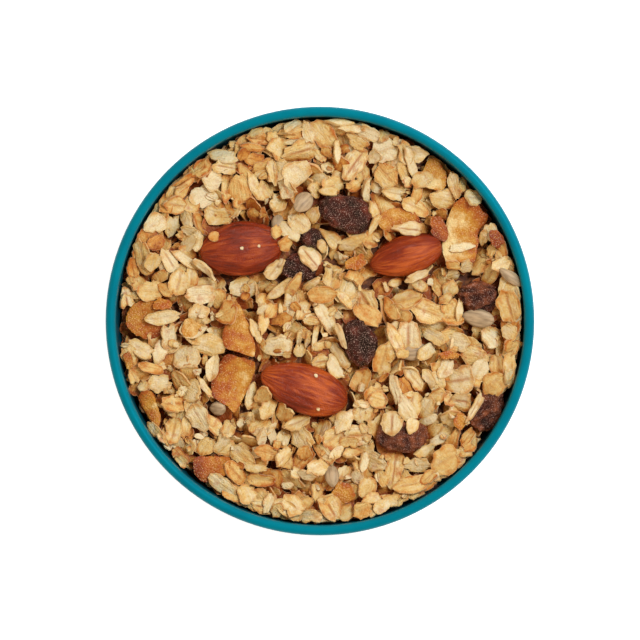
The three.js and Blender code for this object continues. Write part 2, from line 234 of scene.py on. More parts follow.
@dataclass(frozen=True)
class Grit(Finish):
    """Packed grains in two tones, which look dull and rough."""

    dark: str = "#808080"
    light: str = "#c0c0c0"
    tones: tuple[float, float] = (0.4, 0.6)  # where in the noise each tone is full
    grain_mm: float = 1.0
    detail: float = 4.0

    def pattern(self, tree: bpy.types.NodeTree) -> tuple[Source, Source]:
        """Speckles the surface and raises its lighter grains.

        Args:
            tree: The material's tree.

        Returns:
            What gives its colour, and what gives its height.
        """
        place = add_node(tree, "TexCoord").outputs["Object"]
        sand = {"Vector": place, "Scale": 1 / (self.grain_mm * MM), "Detail": self.detail}
        grain = add_node(tree, "TexNoise", sand)
        stops = list(zip(self.tones, (self.dark, self.light)))
        return add_node(tree, "ValToRGB", {"Fac": grain}, stops=stops), grain


@dataclass(frozen=True)
class BareStoneware(Grit):
    """Unglazed fired clay on the foot ring's underside: pale, dry and sandy."""

    name: str = "bare_stoneware"
    roughness: float = 0.85
    relief: float = 0.4
    relief_mm: float = 0.1
    dark: str = "#a8957a"
    light: str = "#cbbba2"
    tones: tuple[float, float] = (0.4, 0.55)
    grain_mm: float = 0.7


@dataclass(frozen=True)
class PaintedShadeCrumb(Grit):
    """Crumbs under the flakes, painted dark brown as shade for the gaps between the flakes: coarse and dull.
    """

    name: str = "crumb_core_painted_shade"
    roughness: float = 0.75
    relief: float = 0.8
    relief_mm: float = 0.5
    dark: str = "#52240c"
    light: str = "#8c4c1c"
    tones: tuple[float, float] = (0.4, 0.65)
    grain_mm: float = 1.3
    detail: float = 5.0


@dataclass(frozen=True)
class ToastedOat(Finish):
    """Rolled oats baked with syrup: matt cream to gold, browned at the edges, with a brown crease."""

    name: str = "toasted_rolled_oat"
    roughness: float = 0.42
    ior: float = 1.45
    specular: float = 0.27
    glow: float = 0.08
    glow_mm: float = 0.8
    relief_mm: float = 0.42
    pale: str = "#dbcaa6"
    cream: str = "#d2b070"
    gold: str = "#c4853c"
    brown: str = "#8c4018"
    scorched: str = "#ac581e"
    crease: str = "#a45c26"
    # pale torn sides: partly the cut edge's own colour, partly painted highlight
    torn: str = "#e8d6a8"
    rim: float = 0.17  # how much browner the rim is than the middle
    mottle_mm: float = 2.8
    patch_mm: float = 2.4
    streak_mm: float = 0.6
    speck_mm: float = 0.5  # about two pixels of the render, the finest that shows: real specks go finer
    along: float = 0.16  # how fast the streaks change along the flake, against across it

    def pattern(self, tree: bpy.types.NodeTree) -> tuple[Source, Source]:
        """Draws each flake's own mottling, streaks, browned edge, spots and crease, its painted shade where it
        lies low, and its pale torn sides, which are partly painted highlight.

        Args:
            tree: The material's tree.

        Returns:
            What gives its colour, and what gives its height.
        """
        marks = add_node(tree, "Attribute", attribute_name="marks")
        split = add_node(tree, "SeparateColor", {"Color": marks.outputs["Color"]})
        tone, toast, crease = split.outputs["Red"], split.outputs["Green"], marks.outputs["Alpha"]
        grain = add_node(tree, "Attribute", attribute_name="grain").outputs["Vector"]
        spot = add_node(tree, "Attribute", attribute_name="spot").outputs["Vector"]
        drawn = add_node(tree, "Mapping", {"Vector": grain, "Scale": (self.along, 1.0, 1.0)})
        clouds = []
        for place, spacing, detail in (
            (grain, self.mottle_mm, 4.0),
            (drawn, self.streak_mm, 3.0),
            (grain, self.speck_mm, 1.0),
            (grain, self.patch_mm, 4.0),
        ):
            cloud = add_node(tree, "TexNoise", {"Vector": place, "Scale": 1 / spacing, "Detail": detail})
            clouds.append(add_node(tree, "Math", {0: cloud, 1: 0.5}, operation="SUBTRACT"))
        mottle, streak, speck, patch = clouds

        out = add_node(tree, "VectorMath", {0: spot}, operation="LENGTH")
        rimward = {"Value": out, "From Min": 0.6, "From Max": 1.0, "To Max": self.rim}
        browned = add_node(tree, "MapRange", rimward, interpolation_type="SMOOTHSTEP")
        # tone is each flake's own tone, raised as painted shade where the flake lies low in the heap
        shade = add_node(tree, "Math", {0: tone, 1: browned}, operation="ADD")
        for value, gain in ((mottle, 1.0), (streak, 0.38), (speck, 0.36)):
            shade = add_node(tree, "Math", {0: value, 1: gain, 2: shade}, operation="MULTIPLY_ADD")
        stops = [(0.02, self.pale), (0.36, self.cream), (0.68, self.gold), (1.0, self.brown)]
        colour = add_node(tree, "ValToRGB", {"Fac": shade}, stops=stops)

        ragged = add_node(tree, "Math", {0: mottle, 1: 1.1, 2: out}, operation="MULTIPLY_ADD")
        apart = add_node(tree, "SeparateXYZ", {"Vector": spot})
        wander = {0: mottle, 1: 0.28, 2: apart.outputs["Y"]}
        bent = add_node(tree, "Math", wander, operation="MULTIPLY_ADD")
        aside = add_node(tree, "Math", {0: bent}, operation="ABSOLUTE")
        ahead = add_node(tree, "Math", {0: apart.outputs["X"]}, operation="ABSOLUTE")
        shares = []
        for value, none, full, most in (
            (ragged, 0.76, 1.06, toast),
            (patch, 0.04, 0.22, toast),
            (aside, 0.2, 0.02, crease),
            # the sides turn paler: partly torn edge, partly painted highlight
            (out, 0.95, 0.99, 0.35),
        ):
            grown = add_node(tree, "MapRange", {"Value": value, "From Min": none, "From Max": full})
            shares.append(add_node(tree, "Math", {0: grown, 1: most}, operation="MULTIPLY", use_clamp=True))
        fading = add_node(tree, "MapRange", {"Value": ahead, "From Min": 0.9, "From Max": 0.5})
        line = add_node(tree, "Math", {0: fading, 1: shares[2]}, operation="MULTIPLY", use_clamp=True)
        shares[2] = line
        for share, tint in zip(shares, (self.scorched, self.scorched, self.crease, self.torn)):
            layers = {"Factor": share, MIX_UNDER: colour, MIX_OVER: linear(tint)}
            colour = add_node(tree, "Mix", layers, data_type="RGBA")
        height = mottle
        for value, gain in ((speck, 0.6), (streak, 0.95), (line, -0.4)):
            height = add_node(tree, "Math", {0: value, 1: gain, 2: height}, operation="MULTIPLY_ADD")
        return colour, height


@dataclass(frozen=True)
class AlmondSkin(Finish):
    """Roasted almond skin under a thin syrup glaze: red-brown, with paler lengthwise veins."""

    name: str = "roasted_almond_skin"
    roughness: float = 0.25
    ior: float = 1.48
    specular: float = 0.3
    relief_mm: float = 0.26
    dark: str = "#4e1104"
    skin: str = "#822707"
    vein: str = "#bb561d"
    vein_mm: float = 0.9
    speck_mm: float = 0.36  # just over a pixel of the render, the finest that shows: the real grain goes finer
    along: float = 0.16  # how fast the veins change along the kernel, against across it
    patchiness: float = 0.3

    def pattern(self, tree: bpy.types.NodeTree) -> tuple[Source, Source]:
        """Streaks the skin along the kernel and roughens it with fine specks.

        Args:
            tree: The material's tree.

        Returns:
            What gives its colour, and what gives its height.
        """
        grain = add_node(tree, "Attribute", attribute_name="grain").outputs["Vector"]
        patch = add_node(tree, "Attribute", attribute_name="toast").outputs["Fac"]
        drawn = add_node(tree, "Mapping", {"Vector": grain, "Scale": (self.along, 1.0, 1.0)})
        veins = {"Vector": drawn, "Scale": 1 / self.vein_mm, "Detail": 4.0}
        streak = add_node(tree, "TexNoise", {**veins, "Roughness": 0.55, "Distortion": 0.6})
        roasted = add_node(tree, "Math", {0: patch, 1: self.patchiness, 2: streak}, operation="MULTIPLY_ADD")
        speck = add_node(tree, "TexNoise", {"Vector": grain, "Scale": 1 / self.speck_mm, "Detail": 2.0})
        height = add_node(tree, "Math", {0: streak, 1: 1.2, 2: speck}, operation="MULTIPLY_ADD")
        stops = [(0.14, self.dark), (0.44, self.skin), (0.76, self.vein)]
        return add_node(tree, "ValToRGB", {"Fac": roasted}, stops=stops), height


@dataclass(frozen=True)
class RaisinSkin(Finish):
    """Dried grape skin: dark purple-brown, redder at the rim and on fold crests as painted glow of light
    through thin skin, with pale sugar specks that are partly painted glints.
    """

    name: str = "dried_grape_skin"
    roughness: float = 0.26
    ior: float = 1.45
    specular: float = 0.42
    specular_tint: str = "#ffd0b8"
    relief_mm: float = 0.4
    dark: str = "#140606"
    skin: str = "#341413"
    # painted glow: the colour of light showing through thin skin at the rim and crests
    thin: str = "#703024"
    # pale specks: partly sugar, partly painted glints
    sugar_and_glint: str = "#ecc4b4"
    sugar_and_glint_share: float = 0.6
    blotch_mm: float = 3.6
    sugar_glint_mm: float = 0.3  # about a pixel of the render, the finest that shows: real crystals go finer

    def pattern(self, tree: bpy.types.NodeTree) -> tuple[Source, Source]:
        """Blotches the skin, reddens it where its mark is high as painted glow through thin skin, and dusts it
        with pale sugar specks, partly painted glints.

        Args:
            tree: The material's tree.

        Returns:
            What gives its colour, and what gives its height.
        """
        grain = add_node(tree, "Attribute", attribute_name="grain").outputs["Vector"]
        thin = add_node(tree, "Attribute", attribute_name="toast").outputs["Fac"]
        blotch = add_node(tree, "TexNoise", {"Vector": grain, "Scale": 1 / self.blotch_mm, "Detail": 4.0})
        # the mark is high at the rim and on fold crests: painted glow through thin skin
        shade = add_node(tree, "Math", {0: thin, 1: 0.5, 2: blotch}, operation="MULTIPLY_ADD")
        stops = [(0.4, self.dark), (0.62, self.skin), (0.95, self.thin)]
        tint = add_node(tree, "ValToRGB", {"Fac": shade}, stops=stops)
        crystals = {"Vector": grain, "Scale": 1 / self.sugar_glint_mm, "Detail": 3.0, "Roughness": 0.7}
        dust = add_node(tree, "TexNoise", crystals)
        # pale specks: partly sugar, partly painted glints
        bright = {"Value": dust, "From Min": 0.57, "From Max": 0.66, "To Max": self.sugar_and_glint_share}
        speck = add_node(tree, "MapRange", bright)
        layers = {"Factor": speck, MIX_UNDER: tint, MIX_OVER: linear(self.sugar_and_glint)}
        return add_node(tree, "Mix", layers, data_type="RGBA"), dust


SUGARED = RaisinSkin()
WRINKLED = RaisinSkin(
    name="wrinkled_grape_skin", skin="#3c1a16", thin="#86492f", sugar_and_glint_share=0.45, blotch_mm=2.4
)


@dataclass(frozen=True)
class ToastedCoconut(Finish):
    """A shaving of coconut, oven-toasted: cream inside, orange-brown and pitted where it browned."""

    name: str = "toasted_coconut"
    roughness: float = 0.4
    ior: float = 1.46
    specular: float = 0.3
    glow: float = 0.1
    relief: float = 0.6
    relief_mm: float = 0.35
    pale: str = "#dfc48c"
    gold: str = "#bd8431"
    brown: str = "#a6561d"
    dark: str = "#7e3410"
    pit: str = "#eec98c"
    patch_mm: float = 4.5
    pit_mm: float = 0.55  # about two pixels of the render, the finest that shows: real pores go finer

    def pattern(self, tree: bpy.types.NodeTree) -> tuple[Source, Source]:
        """Browns the chip from its inner edge to its outer one, and dots it with bright pores.

        Args:
            tree: The material's tree.

        Returns:
            What gives its colour, and what gives its height.
        """
        grain = add_node(tree, "Attribute", attribute_name="grain").outputs["Vector"]
        toast = add_node(tree, "Attribute", attribute_name="toast").outputs["Fac"]
        cloud = {"Vector": grain, "Scale": 1 / self.patch_mm, "Detail": 4.0, "Roughness": 0.6}
        patch = add_node(tree, "TexNoise", cloud)
        swing = add_node(tree, "Math", {0: patch, 1: 0.5}, operation="SUBTRACT")
        depth = add_node(tree, "Math", {0: swing, 1: 1.5, 2: toast}, operation="MULTIPLY_ADD")
        stops = [(0.1, self.pale), (0.38, self.gold), (0.68, self.brown), (1.0, self.dark)]
        tint = add_node(tree, "ValToRGB", {"Fac": depth}, stops=stops)
        pores = add_node(tree, "TexVoronoi", {"Vector": grain, "Scale": 1 / self.pit_mm})
        inside = {"Value": pores, "From Min": 0.12, "From Max": 0.28, "To Min": 0.6, "To Max": 0.0}
        layers = {"Factor": add_node(tree, "MapRange", inside), MIX_UNDER: tint, MIX_OVER: linear(self.pit)}
        height = add_node(tree, "Math", {0: patch, 1: 2.0, 2: pores}, operation="MULTIPLY_ADD")
        return add_node(tree, "Mix", layers, data_type="RGBA"), height


@dataclass(frozen=True)
class SunflowerKernel(Finish):
    """Hulled sunflower seed: smooth grey-beige with faint lengthwise lines."""

    name: str = "sunflower_kernel"
    roughness: float = 0.5
    ior: float = 1.46
    glow: float = 0.1
    specular: float = 0.3
    relief: float = 0.3
    shade: str = "#8b745a"
    kernel: str = "#b3997a"
    line_mm: float = 0.8
    along: float = 0.2  # how fast the lines change along the seed, against across it

    def pattern(self, tree: bpy.types.NodeTree) -> tuple[Source, Source]:
        """Draws the kernel's faint lines.

        Args:
            tree: The material's tree.

        Returns:
            What gives its colour, and what gives its height.
        """
        grain = add_node(tree, "Attribute", attribute_name="grain").outputs["Vector"]
        drawn = add_node(tree, "Mapping", {"Vector": grain, "Scale": (self.along, 1.0, 1.0)})
        lines = add_node(tree, "TexNoise", {"Vector": drawn, "Scale": 1 / self.line_mm, "Detail": 3.0})
        stops = [(0.35, self.shade), (0.6, self.kernel)]
        return add_node(tree, "ValToRGB", {"Fac": lines}, stops=stops), lines


@dataclass(frozen=True)
class OpalAcrylic(Finish):
    """Opal acrylic sheet of a studio table, lit a little from below, so that shadows on it stay pale."""

    name: str = "opal_acrylic"
    roughness: float = 0.9
    white: str = "#f1f4fb"
    lit: float = 0.7

    def dress(self, tree: bpy.types.NodeTree, shader: bpy.types.Node) -> None:
        """Sets the one plain colour and its light.

        Args:
            tree: The material's tree, not used here.
            shader: Its Principled shader.
        """
        shader.inputs["Base Color"].default_value = linear(self.white)
        shader.inputs["Emission Color"].default_value = linear(self.white)
        shader.inputs["Emission Strength"].default_value = self.lit


def add_piece(
    mesh: bpy.types.Mesh | bmesh.types.BMesh, name: str, finish: Finish, node: str
) -> bpy.types.Object:
    """Turns a mesh into a finished piece that stands for a node.

    Args:
        mesh: The mesh, or the bmesh that it is made from.
        name: The piece's name.
        finish: What it is made of.
        node: The node that it replaces.

    Returns:
        The piece.
    """
    if isinstance(mesh, bmesh.types.BMesh):
        shape = bpy.data.meshes.new(name)
        mesh.to_mesh(shape)
        mesh.free()
    else:
        shape = mesh
    shape.shade_smooth()
    shape.set_sharp_from_angle(angle=math.radians(CORNER))
    shape.materials.append(finish.material())
    made = bpy.data.objects.new(name, shape)
    bpy.context.scene.collection.objects.link(made)
    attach(made, "root")
    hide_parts(node)
    log.info("%s: %d faces, for %s", name, len(shape.polygons), node)
    return made


@dataclass
class StonewareBowl:
    """The bowl: one turned wall with a rounded rim, on a foot ring."""

    node: str = "bowl"
    wall: float = 2.8
    floor_top: float = 7.0
    foot_radius: float = 29.0
    foot_width: float = 4.5
    foot_height: float = 3.5
    foot_slope: float = 0.8  # run of the recess's side, inside the ring
    foot_flare: float = 0.3  # how much wider the ring is at its top
    foot_step: float = 0.6  # height of the step from the ring to the wall
    foot_round: float = 0.6
    underside: float = 3.0
    steepness: float = 2.5  # this power and the next give the wall its curve
    fullness: float = 0.46
    wall_start: float = 0.09  # how far up its curve the wall leaves the foot
    crowding: float = 1.8  # how much closer the steps inside are near the floor, and outside near the foot
    crowding_outside: float = 1.5
    fill_height: float = 48.0  # where the inside of the wall bounds the flakes
    shade_drop: float = 3.5  # how far below the rim the painted shade on the inside wall is at its darkest
    wall_steps: int = 26
    rim_steps: int = 12
    sides: int = 144
    outer_radius: float = field(init=False)
    height: float = field(init=False)

    def __post_init__(self) -> None:
        """Takes the bowl's radius and height from its node."""
        low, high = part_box(self.node)
        self.outer_radius = (high[0] - low[0]) / 2 / MM
        self.height = high[2] / MM

    @property
    def rim_base(self) -> float:
        """Height at which the wall ends and the rounded rim begins."""
        return self.height - self.wall / 2

    def wall_shape(self, share: float) -> float:
        """Radius of the wall, as a share of its largest, at a share of its height."""
        return (1 - (1 - share) ** self.steepness) ** self.fullness

    def inside_radius(self, z: float) -> float:
        """Inside radius of the bowl at height z."""
        share = min(1.0, max(0.0, (z - self.floor_top) / (self.rim_base - self.floor_top)))
        return (self.outer_radius - self.wall) * self.wall_shape(share)

    def inside_height(self, top: float, share: float) -> float:
        """Height of a step on the inside, at a share of the steps up to a top."""
        return self.floor_top + (top - self.floor_top) * share**self.crowding

    def profile(self) -> list[tuple[float, float]]:
        """The section of the bowl as radius and height, from the middle of its underside round to its floor.

        Returns:
            The points of the section.
        """
        ring = self.foot_radius - self.foot_width
        points = [(0.0, self.underside), (ring - self.foot_slope, self.underside), (ring, 0.0)]
        points += [(self.foot_radius, 0.0), (self.foot_radius + self.foot_flare, self.foot_height)]
        start = self.foot_height + self.foot_step
        for step in range(1, self.wall_steps):
            share = (step / self.wall_steps) ** self.crowding_outside
            height = start + (self.rim_base - start) * share
            radius = self.outer_radius * self.wall_shape(self.wall_start + (1 - self.wall_start) * share)
            points.append((radius, height))
        middle, half = self.outer_radius - self.wall / 2, self.wall / 2
        for step in range(self.rim_steps + 1):
            angle = math.pi * step / self.rim_steps
            points.append((middle + half * math.cos(angle), self.rim_base + half * math.sin(angle)))
        for step in range(self.wall_steps - 1, 0, -1):
            height = self.inside_height(self.rim_base, step / self.wall_steps)
            points.append((self.inside_radius(height), height))
        points.append((0.0, self.floor_top))
        return points

    def on_foot_corner(self, edge: bmesh.types.BMEdge) -> bool:
        """Tells whether an edge runs round a corner under the foot ring.

        Args:
            edge: An edge of the spun section.

        Returns:
            Whether it does.
        """
        corners = (self.foot_radius - self.foot_width, self.foot_radius)
        radii = [vert.co.xy.length / MM for vert in edge.verts]
        low = all(abs(vert.co.z) < NEAR * MM for vert in edge.verts)
        return low and any(all(abs(radius - corner) < NEAR for radius in radii) for corner in corners)

    def build(self) -> bpy.types.Object:
        """Spins the section round the axis, rounds the foot and leaves its underside unglazed.

        Returns:
            The bowl.
        """
        shape = spun(self.profile(), self.sides)
        foot = [edge for edge in shape.edges if self.on_foot_corner(edge)]
        bmesh.ops.bevel(
            shape,
            geom=foot,
            offset=self.foot_round * MM,
            segments=3,
            profile=0.5,
            affect="EDGES",
            material=-1,
        )
        for face in shape.faces:
            if face.calc_center_median().z < NEAR * MM and face.normal.z < 0:
                face.material_index = 1
        # marks the inside wall for painted shade, growing from the rim downwards
        inside = shape.verts.layers.float.new("inside")
        for vert in shape.verts:
            radius, height = vert.co.xy.length / MM, vert.co.z / MM
            if self.floor_top - NEAR < height < self.rim_base and radius < self.inside_radius(height) + NEAR:
                vert[inside] = min(1.0, (self.rim_base - height) / self.shade_drop)
        made = add_piece(shape, "glazed_bowl", GlazedStoneware(), self.node)
        made.data.materials.append(BareStoneware().material())
        return made


def spun(section: list[tuple[float, float]], sides: int) -> bmesh.types.BMesh:
    """Spins a section round the vertical axis.

    Args:
        section: Radius and height of its points in millimetres, with both ends on the axis.
        sides: Steps round the axis.

    Returns:
        The closed shape, in metres.
    """
    shape = bmesh.new()
    points = [shape.verts.new((radius * MM, 0.0, height * MM)) for radius, height in section]
    edges = [shape.edges.new(pair) for pair in zip(points, points[1:])]
    bmesh.ops.spin(
        shape,
        geom=points + edges,
        cent=(0, 0, 0),
        axis=(0, 0, 1),
        angle=2 * math.pi,
        steps=sides,
        use_merge=True,
    )
    bmesh.ops.remove_doubles(shape, verts=shape.verts, dist=NEAR * MM)
    bmesh.ops.recalc_face_normals(shape, faces=shape.faces)
    return shape


@dataclass
class HeapCore:
    """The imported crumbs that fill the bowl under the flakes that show."""

    bowl: StonewareBowl
    gap: float = 0.45
    middle_level: float = 45.6
    edge_level: float = 44.4
    bump: float = 0.9
    bump_rate: float = 0.16  # bumps to a millimetre
    bump_seed: float = 3.7
    crumb: float = 0.35
    crumb_rate: float = 0.7  # crumbs to a millimetre
    crumb_seed: float = 9.1
    sides: int = 128
    rings: int = 44
    wall_steps: int = 12

    def level(self, x: float, y: float) -> float:
        """Height of the core's top.

        Args:
            x: Place along X.
            y: Place along Y.

        Returns:
            The height in millimetres.
        """
        out = min(1.0, math.hypot(x, y) / self.bowl.inside_radius(self.edge_level))
        dome = self.middle_level + (self.edge_level - self.middle_level) * out * out
        place = Vector((x * self.bump_rate, y * self.bump_rate, self.bump_seed))
        return dome + self.bump * noise.noise(place)

    def build(self) -> bpy.types.Object:
        """Spins the core and lifts its top into bumps.

        Returns:
            The core.
        """
        section = [(0.0, self.bowl.floor_top + self.gap)]
        for step in range(1, self.wall_steps):
            height = self.bowl.inside_height(self.edge_level, step / self.wall_steps)
            section.append((self.bowl.inside_radius(height) - self.gap, height + self.gap))
        edge = self.bowl.inside_radius(self.edge_level) - self.gap
        section += [(edge * ring / self.rings, self.edge_level) for ring in range(self.rings, -1, -1)]
        shape = spun(section, self.sides)
        for vert in shape.verts:
            x, y, z = vert.co / MM
            if z > self.edge_level - NEAR:
                place = Vector((x * self.crumb_rate, y * self.crumb_rate, self.crumb_seed))
                vert.co.z = (self.level(x, y) + self.crumb * noise.noise(place)) * MM
        # the core's dark brown finish is painted shade for the gaps between the flakes
        return add_piece(shape, "heap_core", PaintedShadeCrumb(), "oats")


class Relief:
    """Heights of what lies in the bowl, on a square grid seen from above, in millimetres."""

    wall_level = 51.0  # stands for the wall, which holds the outer flakes up
    bed_radius = 54.0  # the mean level is taken within it
    least_level = 46.0  # a gap counts as no deeper than this
    fall = 0.1  # how much lower a cell counts for each step from a point that covers it

    def __init__(self, core: HeapCore, reach: float = 58.0, cell: float = 0.4) -> None:
        """Starts from the bare core.

        Args:
            core: The core.
            reach: Half the grid's width.
            cell: Width of a cell.
        """
        self.reach = reach
        self.cell = cell
        self.axis = np.arange(-reach, reach + cell, cell)
        self.height = np.array([[core.level(x, y) for x in self.axis] for y in self.axis])
        across, up = np.meshgrid(self.axis, self.axis)
        out = np.hypot(across, up)
        self.bed = out < self.bed_radius
        self.height[out > core.bowl.inside_radius(core.bowl.fill_height)] = self.wall_level
        self.taken = np.zeros(self.height.shape, dtype=bool)

    def window(self, x: float, y: float, reach: float) -> tuple[slice, slice, np.ndarray, np.ndarray]:
        """The cells round a place.

        Args:
            x: Place along X.
            y: Place along Y.
            reach: Half the window's width.

        Returns:
            Its rows and columns, and each cell's offset from the place along X and Y.
        """
        first = [max(0, int((c - reach + self.reach) / self.cell)) for c in (y, x)]
        last = [min(len(self.axis), int((c + reach + self.reach) / self.cell) + 2) for c in (y, x)]
        rows, cols = slice(first[0], last[0]), slice(first[1], last[1])
        dx, dy = np.meshgrid(self.axis[cols] - x, self.axis[rows] - y)
        return rows, cols, dx, dy

    def mean_level(self) -> float:
        """Mean height away from the wall."""
        return float(self.height[self.bed].mean())

    def depth(self, x: np.ndarray, y: np.ndarray, z: np.ndarray, reach: int = 5) -> np.ndarray:
        """How far points lie below the mean of the heap round them.

        Args:
            x: Places along X.
            y: Places along Y.
            z: Heights.
            reach: Cells on each side that count.

        Returns:
            Depths in millimetres, below nought where a point stands proud.
        """
        filled = np.clip(self.height, self.least_level, None)
        total = np.pad(filled, reach + 1, mode="edge").cumsum(axis=0).cumsum(axis=1)
        span = 2 * reach + 1
        mean = total[span:, span:] - total[:-span, span:] - total[span:, :-span] + total[:-span, :-span]
        mean = mean[: len(self.axis), : len(self.axis)] / span**2
        rows = np.clip(((y + self.reach) / self.cell).astype(int), 0, len(self.axis) - 1)
        cols = np.clip(((x + self.reach) / self.cell).astype(int), 0, len(self.axis) - 1)
        return mean[rows, cols] - z

    def lie(self, x: float, y: float, reach: float) -> tuple[float, float, float]:
        """The plane that best fits the heights round a place.

        Args:
            x: Place along X.
            y: Place along Y.
            reach: Radius that counts.

        Returns:
            The plane's height there and its slopes along X and Y.
        """
        rows, cols, dx, dy = self.window(x, y, reach)
        near = dx * dx + dy * dy < reach * reach
        z = self.height[rows, cols][near]
        dx, dy = dx[near], dy[near]
        level = z.mean()
        return (
            float(level),
            float(((z - level) * dx).sum() / (dx * dx).sum()),
            float(((z - level) * dy).sum() / (dy * dy).sum()),
        )

    def cover(self, points: np.ndarray) -> None:
        """Raises the map to the points of a piece, and takes its cells.

        Args:
            points: Places of its vertices, one to a row.
        """
        index = ((points[:, :2] + self.reach) / self.cell).astype(int)
        for across in (-1, 0, 1):
            for up in (-1, 0, 1):
                cols = np.clip(index[:, 0] + across, 0, len(self.axis) - 1)
                rows = np.clip(index[:, 1] + up, 0, len(self.axis) - 1)
                np.maximum.at(self.height, (rows, cols), points[:, 2] - self.fall * (abs(across) + abs(up)))
                self.taken[rows, cols] = True


@dataclass
class Topping:
    """A piece as large as a berry that lies in the heap, in the place of its node."""

    node: str
    thick: float
    turn: float = 0.0
    roll: float = 0.0
    pitch: float = 0.0

    slot_name = "almond"
    finish: Finish = field(init=False, default=AlmondSkin())
    seed: float = field(init=False)
    middle: Vector = field(init=False)
    reach: Vector = field(init=False)

    def __post_init__(self) -> None:
        """Takes the piece's place from its node, and a seed from the node's name."""
        low, high = (Vector(corner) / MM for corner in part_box(self.node))
        self.seed = 7.3 * (sum(ord(letter) for letter in self.node) % 31)
        self.middle = (low + high) / 2
        self.reach = (high - low) / 2

    def rough(self) -> bmesh.types.BMesh:
        """The shape that the piece is made from, one unit in radius."""
        shape = bmesh.new()
        bmesh.ops.create_icosphere(shape, subdivisions=5, radius=1.0)
        return shape

    def formed(self, along: float, across: float, up: float) -> tuple[Vector, float, float]:
        """Where a point of the rough shape goes.

        Args:
            along: The point's place along the piece, -1 to 1.
            across: Its place across, -1 to 1.
            up: Its place up, -1 to 1.

        Returns:
            Its place in millimetres in the piece's own frame, how far relief pushes it outwards, and how
            far its colour has turned, 0 to 1.
        """
        raise NotImplementedError

    def grain(self, place: Vector, along: float, across: float, up: float) -> Vector:
        """The coordinates that a point's pattern is drawn in: its own place."""
        return place

    def build(self, relief: Relief) -> bpy.types.Object:
        """Makes the piece and marks it on the map of heights.

        Args:
            relief: The map of heights.

        Returns:
            The piece.
        """
        shape = self.rough()
        grain = shape.verts.layers.float_vector.new("grain")
        toast = shape.verts.layers.float.new("toast")
        pushes = {}
        for vert in shape.verts:
            place, push, vert[toast] = self.formed(*vert.co)
            vert[grain] = self.grain(place, *vert.co) + Vector((0.0, 0.0, self.seed))
            vert.co = place
            pushes[vert] = push
        shape.normal_update()
        for vert, push in pushes.items():
            vert.co += vert.normal * push
        bmesh.ops.transform(shape, matrix=self.tip(), verts=shape.verts)
        places = np.array([vert.co[:] for vert in shape.verts])
        shift = np.array(self.middle) - (places.min(axis=0) + places.max(axis=0)) / 2
        bmesh.ops.translate(shape, vec=Vector(shift), verts=shape.verts)
        relief.cover(places + shift)
        bmesh.ops.scale(shape, vec=(MM, MM, MM), verts=shape.verts)
        return add_piece(shape, self.node + "_dressed", self.finish, self.node)

    def tip(self) -> Matrix:
        """How the piece is tipped."""
        return Euler([math.radians(a) for a in (self.roll, self.pitch, 0.0)], "XYZ").to_matrix().to_4x4()

    def crowds(self, x: float, y: float, margin: float) -> bool:
        """True if a place is on the piece or within a margin of it, seen from above."""
        dx, dy = x - self.middle.x, y - self.middle.y
        return math.hypot(dx / (self.reach.x + margin), dy / (self.reach.y + margin)) < 1


def ridges(place: Vector) -> float:
    """Noise with sharp crests, -1 to 1."""
    return 1 - 2 * abs(noise.noise(place))


def spread(outline: tuple[float, ...], angle: float) -> float:
    """The radius of an outline at an angle.

    Args:
        outline: Its radii at even angles, counter-clockwise from +X.
        angle: The angle in radians.

    Returns:
        The radius.
    """
    step = angle / (2 * math.pi) * len(outline) % len(outline)
    first, share = int(step) % len(outline), step % 1
    return outline[first] * (1 - share) + outline[(first + 1) % len(outline)] * share


@dataclass
class Almond(Topping):
    """A whole roasted almond kernel, pointed at its -X end, its skin furrowed lengthwise."""

    length: float = 23.0
    width: float = 14.0
    point: float = 0.3
    furrow: float = 0.24
    spacing: float = 1.9
    roast: float = 0.0

    def tip(self) -> Matrix:
        """How the kernel is tipped, then turned."""
        return Matrix.Rotation(math.radians(self.turn), 4, "Z") @ super().tip()

    def grain(self, place: Vector, along: float, across: float, up: float) -> Vector:
        """The coordinates of the veins, which meet at both tips."""
        round_it = max(0.35, math.hypot(across, up))
        return Vector((place.x, self.width / 2 * across / round_it, self.thick / 2 * up / round_it))

    def formed(self, along: float, across: float, up: float) -> tuple[Vector, float, float]:
        """Shapes the kernel and its furrows.

        Args:
            along: The point's place along the piece, -1 to 1.
            across: Its place across, -1 to 1.
            up: Its place up, -1 to 1.

        Returns:
            Its place, how far relief pushes it outwards, and how far its colour has turned.
        """
        pointed = 1 - self.point * ((1 - along) / 2) ** 2.2
        place = Vector(
            (
                self.length / 2 * (along - 0.05 * (1 - along * along)),
                self.width / 2 * pointed * across,
                self.thick / 2 * pointed * up,
            )
        )
        vein = self.grain(place, along, across, up)
        vein.y += 1.1 * noise.noise(Vector((place.x * 0.15, place.y * 0.1, self.seed)))
        vein = Vector((vein.x * 0.1, vein.y / self.spacing, vein.z / self.spacing))
        push = self.furrow * (ridges(vein + Vector((0, 0, self.seed))) + 0.4 * ridges(2 * vein))
        patch = noise.noise(place * 0.13 + Vector((0, 0, self.seed))) - self.roast
        return place, push * (1 - 0.8 * along**6), patch


